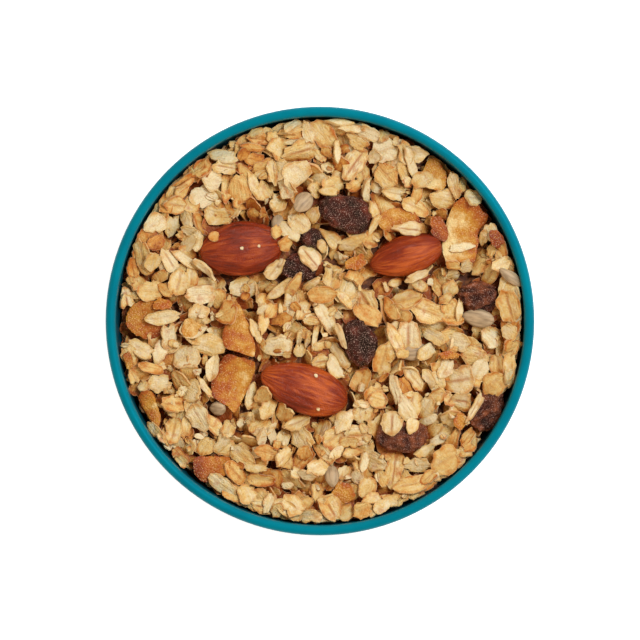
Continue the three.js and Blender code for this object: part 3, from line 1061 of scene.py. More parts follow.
@dataclass
class Raisin(Topping):
    """A dried grape: a blunt, flattened lump of its own outline, with deep folds."""

    outline: tuple[float, ...] = (5.0,)
    fold: float = 0.9
    spacing: float = 3.1
    drawn_out: float = 1.0  # how much longer than wide the folds are, along the piece's turn
    brown: float = 0.0
    finish: Finish = SUGARED

    slot_name = "raisin"

    def formed(self, along: float, across: float, up: float) -> tuple[Vector, float, float]:
        """Shapes the lump, its corners and its folds.

        Args:
            along: The point's place along the piece, -1 to 1.
            across: Its place across, -1 to 1.
            up: Its place up, -1 to 1.

        Returns:
            Its place, how far relief pushes it outwards, and how far its colour has turned.
        """
        out = math.hypot(along, across)
        blunt = (out**2.7 + abs(up) ** 2.7) ** (-1 / 2.7)
        radius = spread(self.outline, math.atan2(across, along)) * blunt
        place = Vector((radius * along, radius * across, self.thick / 2 * up * blunt))
        place.z += 0.5 * noise.noise(place * 0.22 + Vector((0, 0, self.seed)))
        run = Matrix.Rotation(-math.radians(self.turn), 3, "Z") @ place / self.spacing
        run.x /= self.drawn_out
        folds = ridges(run + Vector((self.seed, 0, 0)))
        creases = ridges(run * 2.3 + Vector((0, self.seed, 0)))
        push = self.fold * (0.75 * folds + 0.35 * creases - 0.5)
        # the rim and fold crests are marked redder as painted glow through thin skin, with some random
        # blotching
        crest = 0.4 * max(0.0, folds - 0.1) + 0.3 * noise.noise(place * 0.35)
        return place, push, min(1.0, self.brown + max(0.0, out - 0.75) * 0.9 + crest)


@dataclass
class CoconutChip(Topping):
    """A thin shaving of coconut: its own outline, curled up at two ends, browner towards one side."""

    outline: tuple[float, ...] = (5.0,)
    bend: float = 1.0
    browning: float = 0.5
    fade: float = 0.4
    dark_side: float = 0.0
    ruffle: float = 0.15
    cells: int = 30

    slot_name = "coconut"
    finish: Finish = field(init=False, default=ToastedCoconut())

    def rough(self) -> bmesh.types.BMesh:
        """A flat grid, given its thickness.

        Returns:
            The grid, 1 from its middle to each side.
        """
        shape = bmesh.new()
        bmesh.ops.create_grid(shape, x_segments=self.cells, y_segments=self.cells, size=1.0)
        bmesh.ops.solidify(shape, geom=shape.faces[:] + shape.edges[:] + shape.verts[:], thickness=1.0)
        bmesh.ops.recalc_face_normals(shape, faces=shape.faces)
        return shape

    def formed(self, along: float, across: float, up: float) -> tuple[Vector, float, float]:
        """Rounds the grid off, stretches it to the torn outline and curls it.

        Args:
            along: The point's place along the piece, -1 to 1.
            across: Its place across, -1 to 1.
            up: Its place up, -1 to 1.

        Returns:
            Its place, how far relief pushes it outwards, and how far its colour has turned.
        """
        flat = Vector((along * math.sqrt(1 - across**2 / 2), across * math.sqrt(1 - along**2 / 2), 0.0))
        out, angle = flat.length, math.atan2(flat.y, flat.x)
        torn = noise.noise(Vector((math.cos(angle) * 3.5, math.sin(angle) * 3.5, self.seed)))
        torn += 0.6 * noise.noise(Vector((math.cos(angle) * 9, math.sin(angle) * 9, self.seed)))
        place = flat * spread(self.outline, angle) * (1 + 0.05 * torn * out**3)
        turn, dark = math.radians(self.turn), math.radians(self.dark_side)
        size = sum(self.outline) / len(self.outline)
        ahead = (math.cos(turn) * place.x + math.sin(turn) * place.y) / size
        aside = (math.cos(turn) * place.y - math.sin(turn) * place.x) / size
        wave = self.ruffle * math.sin(3.4 * ahead + 1.5 * aside + self.seed) * aside
        dimple = 0.09 * noise.noise(Vector((place.x * 0.5, place.y * 0.5, self.seed)))
        thin = self.thick * (0.5 - 0.25 * out**6)
        place.z = self.bend * (ahead * ahead - 0.45) - 0.3 * self.bend * aside * aside + wave + dimple
        place.z += math.copysign(thin, up + 0.25)
        toast = self.browning + self.fade * (math.cos(dark) * place.x + math.sin(dark) * place.y) / size
        toast += 0.25 * max(0.0, out - 0.8) / 0.2 * (0.5 + torn)
        return place, 0.0, toast


class FlakeKind(Enum):
    """The kinds of flake, each joined to one piece of this name."""

    PALE = "oats_pale"
    GOLDEN = "oats_golden"
    TOASTED = "oats_toasted"
    BROKEN = "oats_broken"
    CRUMB = "oat_crumbs"
    CHOSEN = "oats_on_top"
    COCONUT = "coconut_bits"


@dataclass(frozen=True)
class Habit:
    """How a kind of flake looks: each pair is the least and the most, lengths in millimetres."""

    share: float
    length: tuple[float, float]
    aspect: tuple[float, float]
    tone: tuple[float, float]
    toast: tuple[float, float]
    cut: tuple[float, float] = (2.0, 2.0)
    thick: tuple[float, float] = (0.45, 0.75)


HABITS = {
    FlakeKind.PALE: Habit(0.3, (6.6, 9.8), (0.6, 0.85), (0.0, 0.3), (0.1, 0.65), (0.45, 1.7)),
    FlakeKind.GOLDEN: Habit(0.26, (6.4, 9.4), (0.55, 0.85), (0.25, 0.5), (0.4, 1.0), (0.45, 1.7)),
    FlakeKind.TOASTED: Habit(0.08, (5.6, 8.6), (0.55, 0.85), (0.5, 0.8), (0.7, 1.0), (0.5, 2.0)),
    FlakeKind.BROKEN: Habit(0.36, (3.4, 7.2), (0.4, 0.8), (0.0, 0.5), (0.3, 0.9), (0.0, 0.7)),
    FlakeKind.CRUMB: Habit(0.1, (1.3, 3.0), (0.6, 0.95), (0.1, 0.7), (0.3, 0.9), (0.3, 1.0), (0.35, 0.6)),
}


@dataclass
class Flake:
    """One rolled flake: its size, its curl, its marks and how it lies."""

    kind: FlakeKind
    x: float
    y: float
    length: float
    width: float
    turn: float
    thick: float = 0.65
    slope: tuple[float, float] = (0.0, 0.0)
    fold: float = 0.0
    cup: float = 0.0
    bend: float = 0.0
    twist: float = 0.0
    point: float = 0.0
    cut: float = 2.0
    tone: float = 0.3
    toast: float = 0.4
    crease: float = 0.6
    seed: float = 0.0
    z: float = 0.0

    def axes(self) -> tuple[np.ndarray, np.ndarray, np.ndarray]:
        """The flake's own directions.

        Returns:
            The directions along, across and out of it.
        """
        out = np.array([-self.slope[0], -self.slope[1], 1.0])
        out /= np.linalg.norm(out)
        along = np.array([math.cos(self.turn), math.sin(self.turn), 0.0])
        along[2] = self.slope[0] * along[0] + self.slope[1] * along[1]
        along /= np.linalg.norm(along)
        return along, np.cross(out, along), out

    def curve(self, along: np.ndarray, across: np.ndarray) -> np.ndarray:
        """How far the flake curls out of its plane at places on it, -1 to 1 each way."""
        rise = self.fold * np.abs(across) + self.cup * across**2
        return rise + self.bend * along**2 + self.twist * along * across


# The flakes that are plain to see in the photograph: middle, length and width in pixels, turn in degrees,
# tone from cream 0 to brown 1, and how deep the crease is. They are laid in this order.
FLAKES_IN_PHOTO = (
    # Top left.
    (259, 138, 26, 13, -5, 0.45, 0.6), (252, 146, 26, 9, -5, 0.55, 0.0), (243, 152, 16, 12, 60, 0.7, 0.0),
    (254, 158, 22, 14, -10, 0.6, 0.0), (262, 165, 26, 13, 35, 0.45, 0.0), (225, 166, 28, 15, -10, 0.2, 0.7),
    (223, 156, 32, 15, -8, 0.08, 0.0), (199, 166, 26, 19, 35, 0.45, 0.2), (191, 205, 20, 16, -20, 0.35, 0.0),
    (180, 190, 18, 14, 40, 0.3, 0.0), (226, 185, 36, 14, 85, 0.4, 0.2), (240, 203, 20, 13, 30, 0.5, 0.0),
    (246, 175, 30, 12, -60, 0.4, 0.0), (255, 187, 32, 12, -65, 0.2, 0.2), (265, 190, 20, 14, -60, 0.3, 0.3),
    (239, 188, 32, 22, 100, 0.45, 0.2), (205, 194, 34, 23, 20, 0.05, 0.2), (212, 180, 24, 20, -10, 0.0, 0.0),
    (175, 204, 29, 19, -10, 0.25, 0.7), (262, 172, 18, 8, 10, 0.2, 0.0), (255, 129, 20, 9, 20, 0.3, 0.0),
    (220, 215, 34, 19, -10, 0.25, 0.1),
    # Top.
    (272, 137, 15, 12, -50, 0.3, 0.0), (277, 148, 27, 20, -60, 0.25, 0.0), (299, 140, 34, 7, 5, 0.15, 0.0),
    (294, 134, 20, 9, 5, 0.5, 0.0), (290, 130, 24, 8, 10, 0.3, 0.0), (292, 124, 22, 11, 35, 0.1, 0.0),
    (308, 128, 26, 13, -70, 0.1, 0.2), (325, 129, 38, 23, -55, 0.35, 0.2), (301, 150, 40, 23, 15, 0.3, 0.9),
    (273, 170, 28, 11, 95, 0.2, 0.0), (334, 185, 26, 20, -20, 0.3, 0.0), (320, 178, 26, 12, 15, 0.15, 0.0),
    (296, 172, 32, 27, 40, 0.1, 0.1), (314, 190, 18, 16, -60, 0.25, 0.0), (288, 190, 31, 17, -50, 0.1, 0.5),
    (328, 150, 14, 12, 0, 0.5, 0.0), (345, 148, 13, 10, 30, 0.4, 0.0), (336, 150, 24, 7, 95, 0.15, 0.0),
    (320, 155, 20, 9, -50, 0.3, 0.0), (328, 167, 17, 11, 20, 0.1, 0.0), (354, 185, 16, 13, 30, 0.45, 0.0),
    (358, 140, 28, 15, -40, 0.3, 0.1), (355, 163, 40, 23, 55, 0.2, 1.0), (340, 122, 30, 7, -6, 0.2, 0.0),
    (362, 125, 17, 9, -20, 0.2, 0.0), (352, 129, 28, 8, -5, 0.15, 0.0), (365, 188, 29, 8, 82, 0.1, 0.0),
    (330, 192, 22, 10, -5, 0.25, 0.0),
    # Top right.
    (384, 134, 17, 12, 60, 0.3, 0.0), (388, 175, 31, 24, -50, 0.4, 0.5), (386, 149, 29, 24, 20, 0.05, 0.3),
    (376, 155, 18, 14, 60, 0.1, 0.0), (405, 152, 30, 14, -70, 0.2, 0.4), (404, 172, 27, 13, -60, 0.25, 0.3),
    (393, 192, 29, 12, -12, 0.15, 0.4), (411, 163, 44, 9, -72, 0.1, 0.0), (424, 179, 24, 17, 20, 0.2, 0.0),
    (418, 193, 22, 11, 80, 0.4, 0.0), (463, 184, 18, 9, 85, 0.35, 0.0), (457, 184, 29, 13, 100, 0.15, 0.2),
    (443, 213, 17, 13, 10, 0.6, 0.0), (416, 207, 31, 16, -25, 0.3, 0.5), (443, 198, 29, 22, -15, 0.25, 0.2),
    (373, 210, 20, 11, -70, 0.25, 0.0), (374, 223, 24, 8, 65, 0.25, 0.0), (370, 239, 24, 16, -10, 0.5, 0.0),
    (410, 230, 32, 15, -8, 0.1, 0.9), (485, 236, 22, 9, 80, 0.3, 0.0), (473, 198, 19, 18, 0, 0.15, 0.4),
    (462, 247, 27, 9, 9, 0.05, 0.0), (493, 250, 15, 10, 80, 0.4, 0.0), (455, 264, 19, 10, -5, 0.5, 0.0),
    (467, 265, 17, 12, 60, 0.15, 0.0), (453, 274, 19, 13, 15, 0.2, 0.0), (492, 274, 27, 16, 60, 0.3, 0.5),
    (507, 263, 23, 14, 25, 0.2, 0.3),
    # Left.
    (136, 283, 22, 14, 55, 0.3, 0.0), (145, 268, 18, 12, -50, 0.35, 0.0), (138, 251, 36, 17, 100, 0.3, 0.6),
    (155, 242, 20, 16, 30, 0.7, 0.0), (153, 222, 26, 20, 40, 0.08, 0.1), (170, 224, 27, 16, 80, 0.1, 0.0),
    (187, 218, 25, 13, -65, 0.15, 0.0), (190, 230, 20, 11, -20, 0.05, 0.0), (197, 240, 22, 12, 80, 0.1, 0.0),
    (190, 242, 27, 13, 35, 0.15, 0.0), (151, 260, 22, 19, 80, 0.25, 0.1), (186, 253, 23, 16, -30, 0.35, 0.0),
    (160, 276, 24, 11, 30, 0.4, 0.0), (165, 290, 22, 11, -40, 0.45, 0.0), (190, 280, 29, 14, 85, 0.3, 0.4),
    (178, 282, 29, 20, 75, 0.25, 0.6), (168, 260, 29, 15, -60, 0.1, 0.7), (186, 260, 37, 10, -35, 0.15, 0.0),
    (150, 291, 29, 21, -5, 0.35, 0.2), (204, 286, 30, 17, 8, 0.2, 0.8), (206, 268, 31, 8, -45, 0.1, 0.0),
    (200, 294, 34, 19, 5, 0.05, 0.2), (197, 315, 27, 20, 70, 0.1, 0.5), (228, 313, 26, 24, 30, 0.45, 0.1),
    (150, 368, 28, 11, -15, 0.5, 0.0), (140, 350, 30, 17, -35, 0.15, 0.3), (158, 352, 28, 15, 80, 0.0, 0.0),
    (162, 317, 37, 14, 6, 0.1, 0.3), (167, 335, 31, 18, 85, 0.08, 0.2), (208, 345, 38, 22, -15, 0.2, 0.1),
    (213, 368, 29, 14, 80, 0.1, 0.1), (187, 359, 35, 24, -10, 0.1, 0.2), (143, 387, 13, 11, 0, 0.1, 0.0),
    (180, 381, 27, 18, -60, 0.3, 0.8), (159, 383, 25, 19, 10, 0.1, 0.0), (205, 389, 26, 7, -55, 0.15, 0.0),
    (172, 405, 28, 21, 0, 0.4, 0.8),
    # Bottom left.
    (155, 431, 24, 10, -50, 0.2, 0.0), (184, 428, 24, 11, 85, 0.35, 0.0), (173, 432, 34, 18, 80, 0.3, 0.6),
    (188, 448, 20, 16, 60, 0.3, 0.0), (206, 446, 22, 18, 60, 0.3, 0.0), (215, 428, 30, 14, -50, 0.25, 0.0),
    (199, 418, 33, 20, -60, 0.1, 0.3), (227, 430, 27, 15, 70, 0.2, 0.4), (182, 462, 17, 10, -50, 0.3, 0.0),
    (234, 474, 31, 18, -50, 0.45, 0.6), (243, 457, 33, 17, -35, 0.25, 0.5), (246, 496, 25, 20, -70, 0.25, 0.1),
    (222, 485, 33, 16, -35, 0.15, 0.3), (262, 480, 33, 13, -5, 0.45, 0.3), (256, 469, 25, 9, -5, 0.2, 0.0),
    # Middle.
    (275, 232, 18, 12, 80, 0.3, 0.0), (285, 243, 19, 16, -10, 0.55, 0.0), (300, 223, 27, 20, -40, 0.15, 0.4),
    (314, 214, 21, 14, 60, 0.25, 0.0), (289, 232, 29, 15, -45, 0.05, 0.0), (321, 245, 20, 9, -65, 0.2, 0.0),
    (332, 239, 29, 14, -40, 0.25, 0.3), (352, 242, 33, 14, 25, 0.3, 0.2), (341, 257, 17, 10, -50, 0.15, 0.0),
    (310, 259, 34, 20, -52, 0.06, 1.0), (243, 287, 30, 22, 15, 0.06, 0.1), (274, 268, 26, 16, 50, 0.15, 0.5),
    (281, 287, 38, 10, 40, 0.2, 0.2), (293, 284, 33, 11, 55, 0.4, 0.0), (311, 283, 22, 9, 35, 0.3, 0.0),
    (333, 276, 29, 20, 82, 0.25, 0.5), (291, 303, 34, 15, 80, 0.15, 0.3), (263, 321, 27, 11, 80, 0.3, 0.0),
    (270, 310, 18, 15, 60, 0.45, 0.0), (262, 308, 16, 8, 50, 0.08, 0.0), (281, 320, 26, 14, 5, 0.65, 0.0),
    (323, 294, 32, 18, -4, 0.45, 0.2), (303, 310, 26, 12, 65, 0.2, 0.0), (311, 320, 18, 10, -5, 0.2, 0.0),
    (300, 337, 26, 5, 80, 0.15, 0.0), (307, 338, 24, 5, 78, 0.25, 0.0), (314, 336, 28, 6, 80, 0.15, 0.0),
    (335, 312, 25, 10, -30, 0.1, 0.2), (326, 319, 42, 15, -62, 0.1, 0.3), (278, 346, 35, 21, 5, 0.12, 0.2),
    (255, 332, 26, 10, -68, 0.2, 0.2), (300, 350, 16, 12, 60, 0.3, 0.0), (320, 346, 17, 10, 10, 0.35, 0.0),
    (342, 336, 27, 7, -70, 0.12, 0.0), (336, 369, 29, 18, -60, 0.03, 0.1), (341, 355, 36, 12, -58, 0.15, 0.2),
    (345, 300, 24, 9, -50, 0.3, 0.0), (250, 396, 29, 11, 75, 0.15, 0.0), (264, 395, 24, 16, 50, 0.4, 0.0),
    # Right.
    (367, 315, 34, 20, -40, 0.45, 0.2), (395, 282, 17, 9, 15, 0.2, 0.0), (418, 284, 27, 12, -35, 0.28, 0.3),
    (437, 286, 23, 11, -70, 0.5, 0.0), (417, 275, 27, 9, 22, 0.05, 0.0), (393, 310, 27, 14, -60, 0.45, 0.0),
    (430, 312, 41, 24, -20, 0.3, 0.5), (408, 300, 36, 22, 10, 0.33, 0.5), (451, 288, 19, 16, 60, 0.2, 0.1),
    (447, 300, 16, 13, 30, 0.25, 0.0), (459, 309, 27, 7, 85, 0.15, 0.0), (448, 335, 21, 13, 20, 0.4, 0.0),
    (436, 336, 31, 14, -30, 0.2, 0.3), (384, 357, 42, 20, 76, 0.4, 0.5), (395, 340, 36, 13, -65, 0.25, 0.4),
    (409, 335, 33, 26, 88, 0.1, 0.9), (403, 353, 14, 11, 0, 0.35, 0.0), (460, 342, 28, 19, -15, 0.0, 0.1),
    (511, 332, 20, 16, -30, 0.2, 0.1), (516, 346, 22, 14, 10, 0.5, 0.0), (493, 338, 27, 23, -40, 0.05, 0.1),
    (512, 304, 37, 24, 105, 0.3, 0.9), (475, 356, 31, 22, -15, 0.25, 0.2), (500, 366, 31, 17, 95, 0.3, 0.5),
    (480, 370, 27, 20, 60, 0.05, 0.2), (495, 384, 29, 24, 50, 0.35, 0.3), (461, 381, 38, 29, 10, 0.1, 0.8),
    (512, 378, 22, 12, 90, 0.15, 0.0), (446, 369, 23, 15, 60, 0.08, 0.3), (426, 352, 28, 14, 28, 0.12, 0.1),
    (432, 380, 25, 10, -55, 0.15, 0.0), (416, 381, 34, 15, -52, 0.2, 0.5), (362, 381, 32, 17, 70, 0.5, 0.2),
    (376, 399, 31, 19, -35, 0.4, 0.2), (397, 391, 36, 11, -75, 0.03, 0.2), (362, 404, 16, 8, -10, 0.1, 0.0),
    # Bottom right.
    (437, 398, 27, 15, 60, 0.35, 0.0), (428, 407, 27, 16, 60, 0.15, 0.3), (407, 409, 34, 15, -65, 0.05, 0.2),
    (412, 426, 19, 12, 70, 0.12, 0.0), (452, 418, 24, 18, 20, 0.3, 0.1), (463, 401, 22, 21, -10, 0.15, 1.0),
    (476, 408, 33, 8, 62, 0.1, 0.6), (467, 420, 13, 6, -60, 0.05, 0.0), (470, 438, 24, 14, 50, 0.45, 0.2),
    (436, 429, 27, 15, 50, 0.28, 0.1), (430, 420, 27, 9, 22, 0.0, 0.0), (440, 440, 22, 10, 25, 0.0, 0.0),
    (425, 451, 24, 11, 25, 0.25, 0.0), (453, 445, 31, 13, 70, 0.4, 0.4), (450, 465, 35, 28, 30, 0.38, 0.4),
    (393, 424, 29, 24, 85, 0.1, 0.9), (418, 465, 29, 15, 3, 0.12, 0.0), (430, 478, 22, 15, 40, 0.4, 0.5),
    (378, 400, 24, 16, -15, 0.35, 0.0), (395, 470, 44, 19, 82, 0.3, 0.9), (376, 463, 27, 18, -20, 0.15, 0.3),
    (412, 486, 38, 20, 12, 0.35, 0.4), (383, 480, 23, 12, -60, 0.35, 0.0), (362, 462, 25, 9, 80, 0.05, 0.0),
    # Bottom.
    (267, 453, 27, 17, -20, 0.5, 0.3), (282, 441, 25, 14, 60, 0.2, 0.0), (284, 458, 27, 14, 45, 0.25, 0.3),
    (261, 437, 21, 10, 80, 0.0, 0.0), (271, 436, 23, 10, 95, 0.0, 0.0), (285, 412, 27, 18, 70, 0.4, 0.1),
    (268, 408, 25, 15, 60, 0.25, 0.0), (302, 438, 31, 22, -60, 0.2, 0.2), (298, 424, 27, 16, 25, 0.18, 0.6),
    (323, 430, 26, 19, 70, 0.3, 0.7), (344, 421, 28, 17, 60, 0.12, 0.2), (350, 442, 23, 13, 0, 0.35, 0.3),
    (352, 455, 21, 11, 10, 0.3, 0.0), (325, 454, 31, 13, -45, 0.25, 0.4), (337, 453, 21, 10, 45, 0.08, 0.0),
    (305, 453, 18, 14, 80, 0.55, 0.0), (318, 468, 26, 17, 20, 0.18, 0.2), (308, 475, 23, 11, -10, 0.03, 0.0),
    (345, 474, 17, 14, 60, 0.25, 0.2), (293, 482, 31, 21, -50, 0.35, 0.3), (317, 492, 27, 13, 75, 0.35, 0.3),
    (305, 505, 21, 13, 30, 0.3, 0.0), (268, 507, 25, 10, 70, 0.1, 0.0), (278, 510, 17, 13, 60, 0.3, 0.0),
    (292, 507, 28, 22, -60, 0.2, 0.1), (310, 516, 28, 14, 0, 0.2, 0.4), (330, 511, 33, 21, -60, 0.25, 1.0),
    (353, 493, 25, 13, 80, 0.4, 0.2), (367, 488, 25, 19, 80, 0.35, 0.1), (358, 476, 17, 13, 60, 0.08, 0.0),
    (372, 500, 23, 13, 10, 0.3, 0.1), (394, 501, 19, 13, -10, 0.2, 0.0), (382, 507, 21, 13, 30, 0.2, 0.1),
    # Crumbs on the almonds.
    (214, 237, 12, 10, 0, 0.45, 0.0), (242, 248, 4, 3, 0, 0.0, 0.0), (259, 246, 3, 3, 0, 0.0, 0.0),
    (316, 376, 5, 3, -50, 0.0, 0.0), (318, 409, 4, 3, 0, 0.1, 0.0), (282, 263, 10, 8, 60, 0.0, 0.0),
)

# Small pieces of toasted coconut: middle, length and width in pixels, turn in degrees, browning.
COCONUT_IN_PHOTO = (
    (190, 328, 21, 18, 60, 0.35), (162, 304, 22, 12, -5, 0.6), (128, 361, 19, 9, -80, 0.6),
    (440, 229, 27, 17, -60, 0.85), (497, 239, 20, 14, -55, 0.95), (357, 262, 26, 13, 25, 0.6),
    (461, 421, 18, 13, 80, 0.55), (342, 496, 25, 21, 60, 0.55), (450, 355, 20, 8, 0, 0.6),
)


# How steeply drawn flakes lie: the draw that a row holds up to, how much slopes differ, the steepest slope.
STEEPNESS = ((0.5, 0.3, 0.8), (0.76, 0.8, 1.5), (1.0, 2.2, 4.5))


@dataclass
class OatHeap:
    """The oats: flakes laid one by one, with bits of coconut and crumbs among them."""

    bowl: StonewareBowl
    relief: Relief
    toppings: list[Topping]
    seed: int = 11
    wall_gap: float = 0.35
    ceiling: float = 55.0
    drop_radius: float = 55.4  # flakes are dropped within it
    wall_radius: float = 54.8  # flakes that lean on the wall are laid at it
    tame_radius: float = 44.0  # beyond it flakes hardly slope down towards the wall
    tame_slope: float = 0.2
    firmness: float = 0.8  # share of a drawn flake that is clear of what lies under it
    covering: float = 0.03  # most of a drawn flake that may lie over toppings
    flakes: list[Flake] = field(default_factory=list)

    def __post_init__(self) -> None:
        """Seeds the draws."""
        self.random = np.random.default_rng(self.seed)

    def between(self, least: float, most: float) -> float:
        """A draw between two numbers."""
        return float(self.random.uniform(least, most))

    def low_spot(self, tries: int, margin: float) -> tuple[float, float]:
        """The lowest of some random places that are clear of the toppings.

        Args:
            tries: How many places are drawn.
            margin: How far from each topping.

        Returns:
            x and y.
        """
        best = (1e9, 0.0, 0.0)
        while tries > 0:
            out = self.drop_radius * math.sqrt(self.between(0, 1))
            angle = self.between(0, 2 * math.pi)
            x, y = out * math.cos(angle), out * math.sin(angle)
            if not any(topping.crowds(x, y, margin) for topping in self.toppings):
                best = min(best, (self.relief.lie(x, y, 2.0)[0], x, y))
                tries -= 1
        return best[1], best[2]

    def curled(self, flake: Flake) -> Flake:
        """Gives a flake its drawn thickness and curl.

        Args:
            flake: The flake.

        Returns:
            The same flake.
        """
        size = flake.length / 8 * (1.0 if self.between(0, 1) < 0.3 else 0.4)
        flake.thick *= self.between(0.85, 1.2)
        flake.fold = self.between(-0.4, 0.7) * size
        flake.cup = self.between(-0.5, 0.6) * size
        flake.bend = self.between(-0.5, 0.6) * size
        flake.twist = self.between(-0.7, 0.7) * size
        flake.point = self.between(-0.2, 0.2)
        flake.seed = self.between(0, 1)
        return flake

    def drawn(self, x: float, y: float) -> Flake:
        """A flake with drawn sizes and marks, lying much as the heap does there.

        Args:
            x: Its place along X.
            y: Its place along Y.

        Returns:
            The flake, not yet laid.
        """
        kinds = list(HABITS)
        shares = np.array([HABITS[kind].share for kind in kinds])
        kind = kinds[self.random.choice(len(kinds), p=shares / shares.sum())]
        habit = HABITS[kind]
        length = self.between(*habit.length)
        _, tilt_x, tilt_y = self.relief.lie(x, y, 3.2)
        steep = self.between(0, 1)
        _, spread_out, limit = next(row for row in STEEPNESS if steep < row[0])
        slope = np.array([0.8 * tilt_x, 0.8 * tilt_y]) + self.random.normal(0, spread_out, 2)
        slope *= min(1.0, limit / max(1e-6, float(np.hypot(*slope))))
        outward = np.array([x, y]) / max(1e-6, math.hypot(x, y))
        drop = -self.tame_slope - float(slope @ outward)
        if math.hypot(x, y) > self.tame_radius and drop > 0:
            slope += drop * outward
        flake = Flake(kind, x, y, length, length * self.between(*habit.aspect), self.between(0, 2 * math.pi))
        flake.thick = self.between(*habit.thick)
        flake.slope = (float(slope[0]), float(slope[1]))
        flake.cut = self.between(*habit.cut)
        flake.tone = self.between(*habit.tone)
        flake.toast = self.between(*habit.toast)
        flake.crease = max(0.0, self.between(-0.9, 0.9))
        return self.curled(flake)

    def lay(self, flake: Flake, firmness: float, sink: float = 0.0, hides: float = 1.0) -> bool:
        """Lowers a flake on to the heap, inside the wall.

        Args:
            flake: The flake, whose height is set.
            firmness: Share of the flake that is clear of what lies under it.
            sink: How far it is pressed in.
            hides: Most of the flake that may lie over toppings, as a share.

        Returns:
            Whether it is laid.
        """
        along, across, out = flake.axes()
        turns = np.linspace(0, 2 * math.pi, 16, endpoint=False)
        edge = np.outer(np.cos(turns) * flake.length / 2, along)
        edge += np.outer(np.sin(turns) * flake.width / 2, across)
        limit = self.bowl.inside_radius(self.bowl.fill_height) - self.wall_gap
        for _ in range(2):
            over = np.hypot(edge[:, 0] + flake.x, edge[:, 1] + flake.y).max() - limit
            if over > 0:
                away = math.hypot(flake.x, flake.y)
                flake.x -= over * flake.x / away
                flake.y -= over * flake.y / away
        rows, cols, dx, dy = self.relief.window(flake.x, flake.y, flake.length / 2 + 0.5)
        rise = flake.slope[0] * dx + flake.slope[1] * dy
        u = (dx * along[0] + dy * along[1] + rise * along[2]) / (flake.length / 2)
        v = (dx * across[0] + dy * across[1] + rise * across[2]) / (flake.width / 2)
        inside = (u * u + v * v < 1) & (u < flake.cut)
        if not inside.any() or self.relief.taken[rows, cols][inside].mean() > hides:
            return False
        under = rise + flake.curve(u, v) / out[2]
        ground = self.relief.height[rows, cols]
        flake.z = float(np.quantile((ground - under)[inside], firmness)) - sink
        top = flake.z + under + flake.thick / out[2]
        over = float(top[inside].max()) - self.ceiling
        if over > 0:
            flake.z -= over
            top -= over
        ground[inside] = np.maximum(ground[inside], top[inside])
        self.flakes.append(flake)
        return True

    def fill(self, level: float, tries: int, margin: float) -> None:
        """Lays drawn flakes until the heap reaches a mean height.

        Args:
            level: The mean height.
            tries: How many places each flake chooses the lowest from: the more, the flatter the heap.
            margin: How far the flakes' middles keep from the toppings.
        """
        while self.relief.mean_level() < level:
            for _ in range(10):
                flake = self.drawn(*self.low_spot(tries, margin))
                steep = math.hypot(*flake.slope)
                sink = 1.1 * min(2.2, max(0.0, steep - 0.7))  # a steep flake stands deeper in the heap
                self.lay(flake, self.firmness, sink, self.covering)

    def line_wall(self, count: int, first: float = 0.0, last: float = 360.0) -> None:
        """Leans flakes against the wall, with their length along it.

        Args:
            count: How many.
            first: Where along the wall they start, in degrees from +X.
            last: Where they end.
        """
        for _ in range(count):
            places = []
            for _ in range(4):
                angle = math.radians(self.between(first, last))
                x, y = self.wall_radius * math.cos(angle), self.wall_radius * math.sin(angle)
                places.append((self.relief.lie(x, y, 2.0)[0], x, y, angle))
            _, x, y, angle = min(places)
            flake = self.drawn(x, y)
            flake.turn = angle + math.pi / 2 + self.between(-0.5, 0.5)
            rise = self.between(0.0, 0.8)
            flake.slope = (rise * math.cos(angle), rise * math.sin(angle))
            flake.width = min(flake.width, self.between(3.4, 5.2))
            self.lay(flake, self.firmness, hides=self.covering)

    def sprinkle(self, count: int, margin: float) -> None:
        """Drops crumbs into the gaps between the flakes on top.

        Args:
            count: How many.
            margin: How far they keep from the toppings.
        """
        habit = HABITS[FlakeKind.CRUMB]
        for _ in range(count):
            flake = self.drawn(*self.low_spot(6, margin))
            flake.kind = FlakeKind.CRUMB
            flake.length = self.between(1.6, 3.8)
            flake.width = flake.length * self.between(0.35, 0.85)
            flake.thick = self.between(*habit.thick)
            flake.cut = self.between(*habit.cut)
            self.lay(self.curled(flake), self.firmness, hides=self.covering)

    def lay_seen(self) -> None:
        """Lays the flakes and the bits of coconut that the photograph shows on top."""
        for px, py, length, width, turn, tone, crease in FLAKES_IN_PHOTO:
            x, y = from_photo(px, py)
            flake = Flake(FlakeKind.CHOSEN, x, y, length * PIXEL, width * PIXEL, math.radians(turn))
            self.curled(flake)
            _, *tilt = self.relief.lie(x, y, 0.3 * flake.length)
            flake.slope = tuple(float(np.clip(0.7 * t, -0.7, 0.7)) + self.between(-0.12, 0.12) for t in tilt)
            narrow = width / length < 0.4
            flake.thick = 0.72 * (1.3 if narrow else 1.0) if length > 8 else 0.6
            if self.between(0, 1) < 0.3:
                flake.cut = self.between(0.6, 0.9)
            flake.tone, flake.crease = tone, 0.8 * crease
            flake.toast = self.between(0.25, 0.9) * min(1.0, 0.6 + tone)
            self.lay(flake, 0.72)
        for px, py, length, width, turn, browning in COCONUT_IN_PHOTO:
            x, y = from_photo(px, py)
            flake = Flake(FlakeKind.COCONUT, x, y, length * PIXEL, width * PIXEL, math.radians(turn))
            self.curled(flake)
            flake.thick, flake.toast, flake.crease = 0.9, browning, 0.0
            self.lay(flake, 0.7)


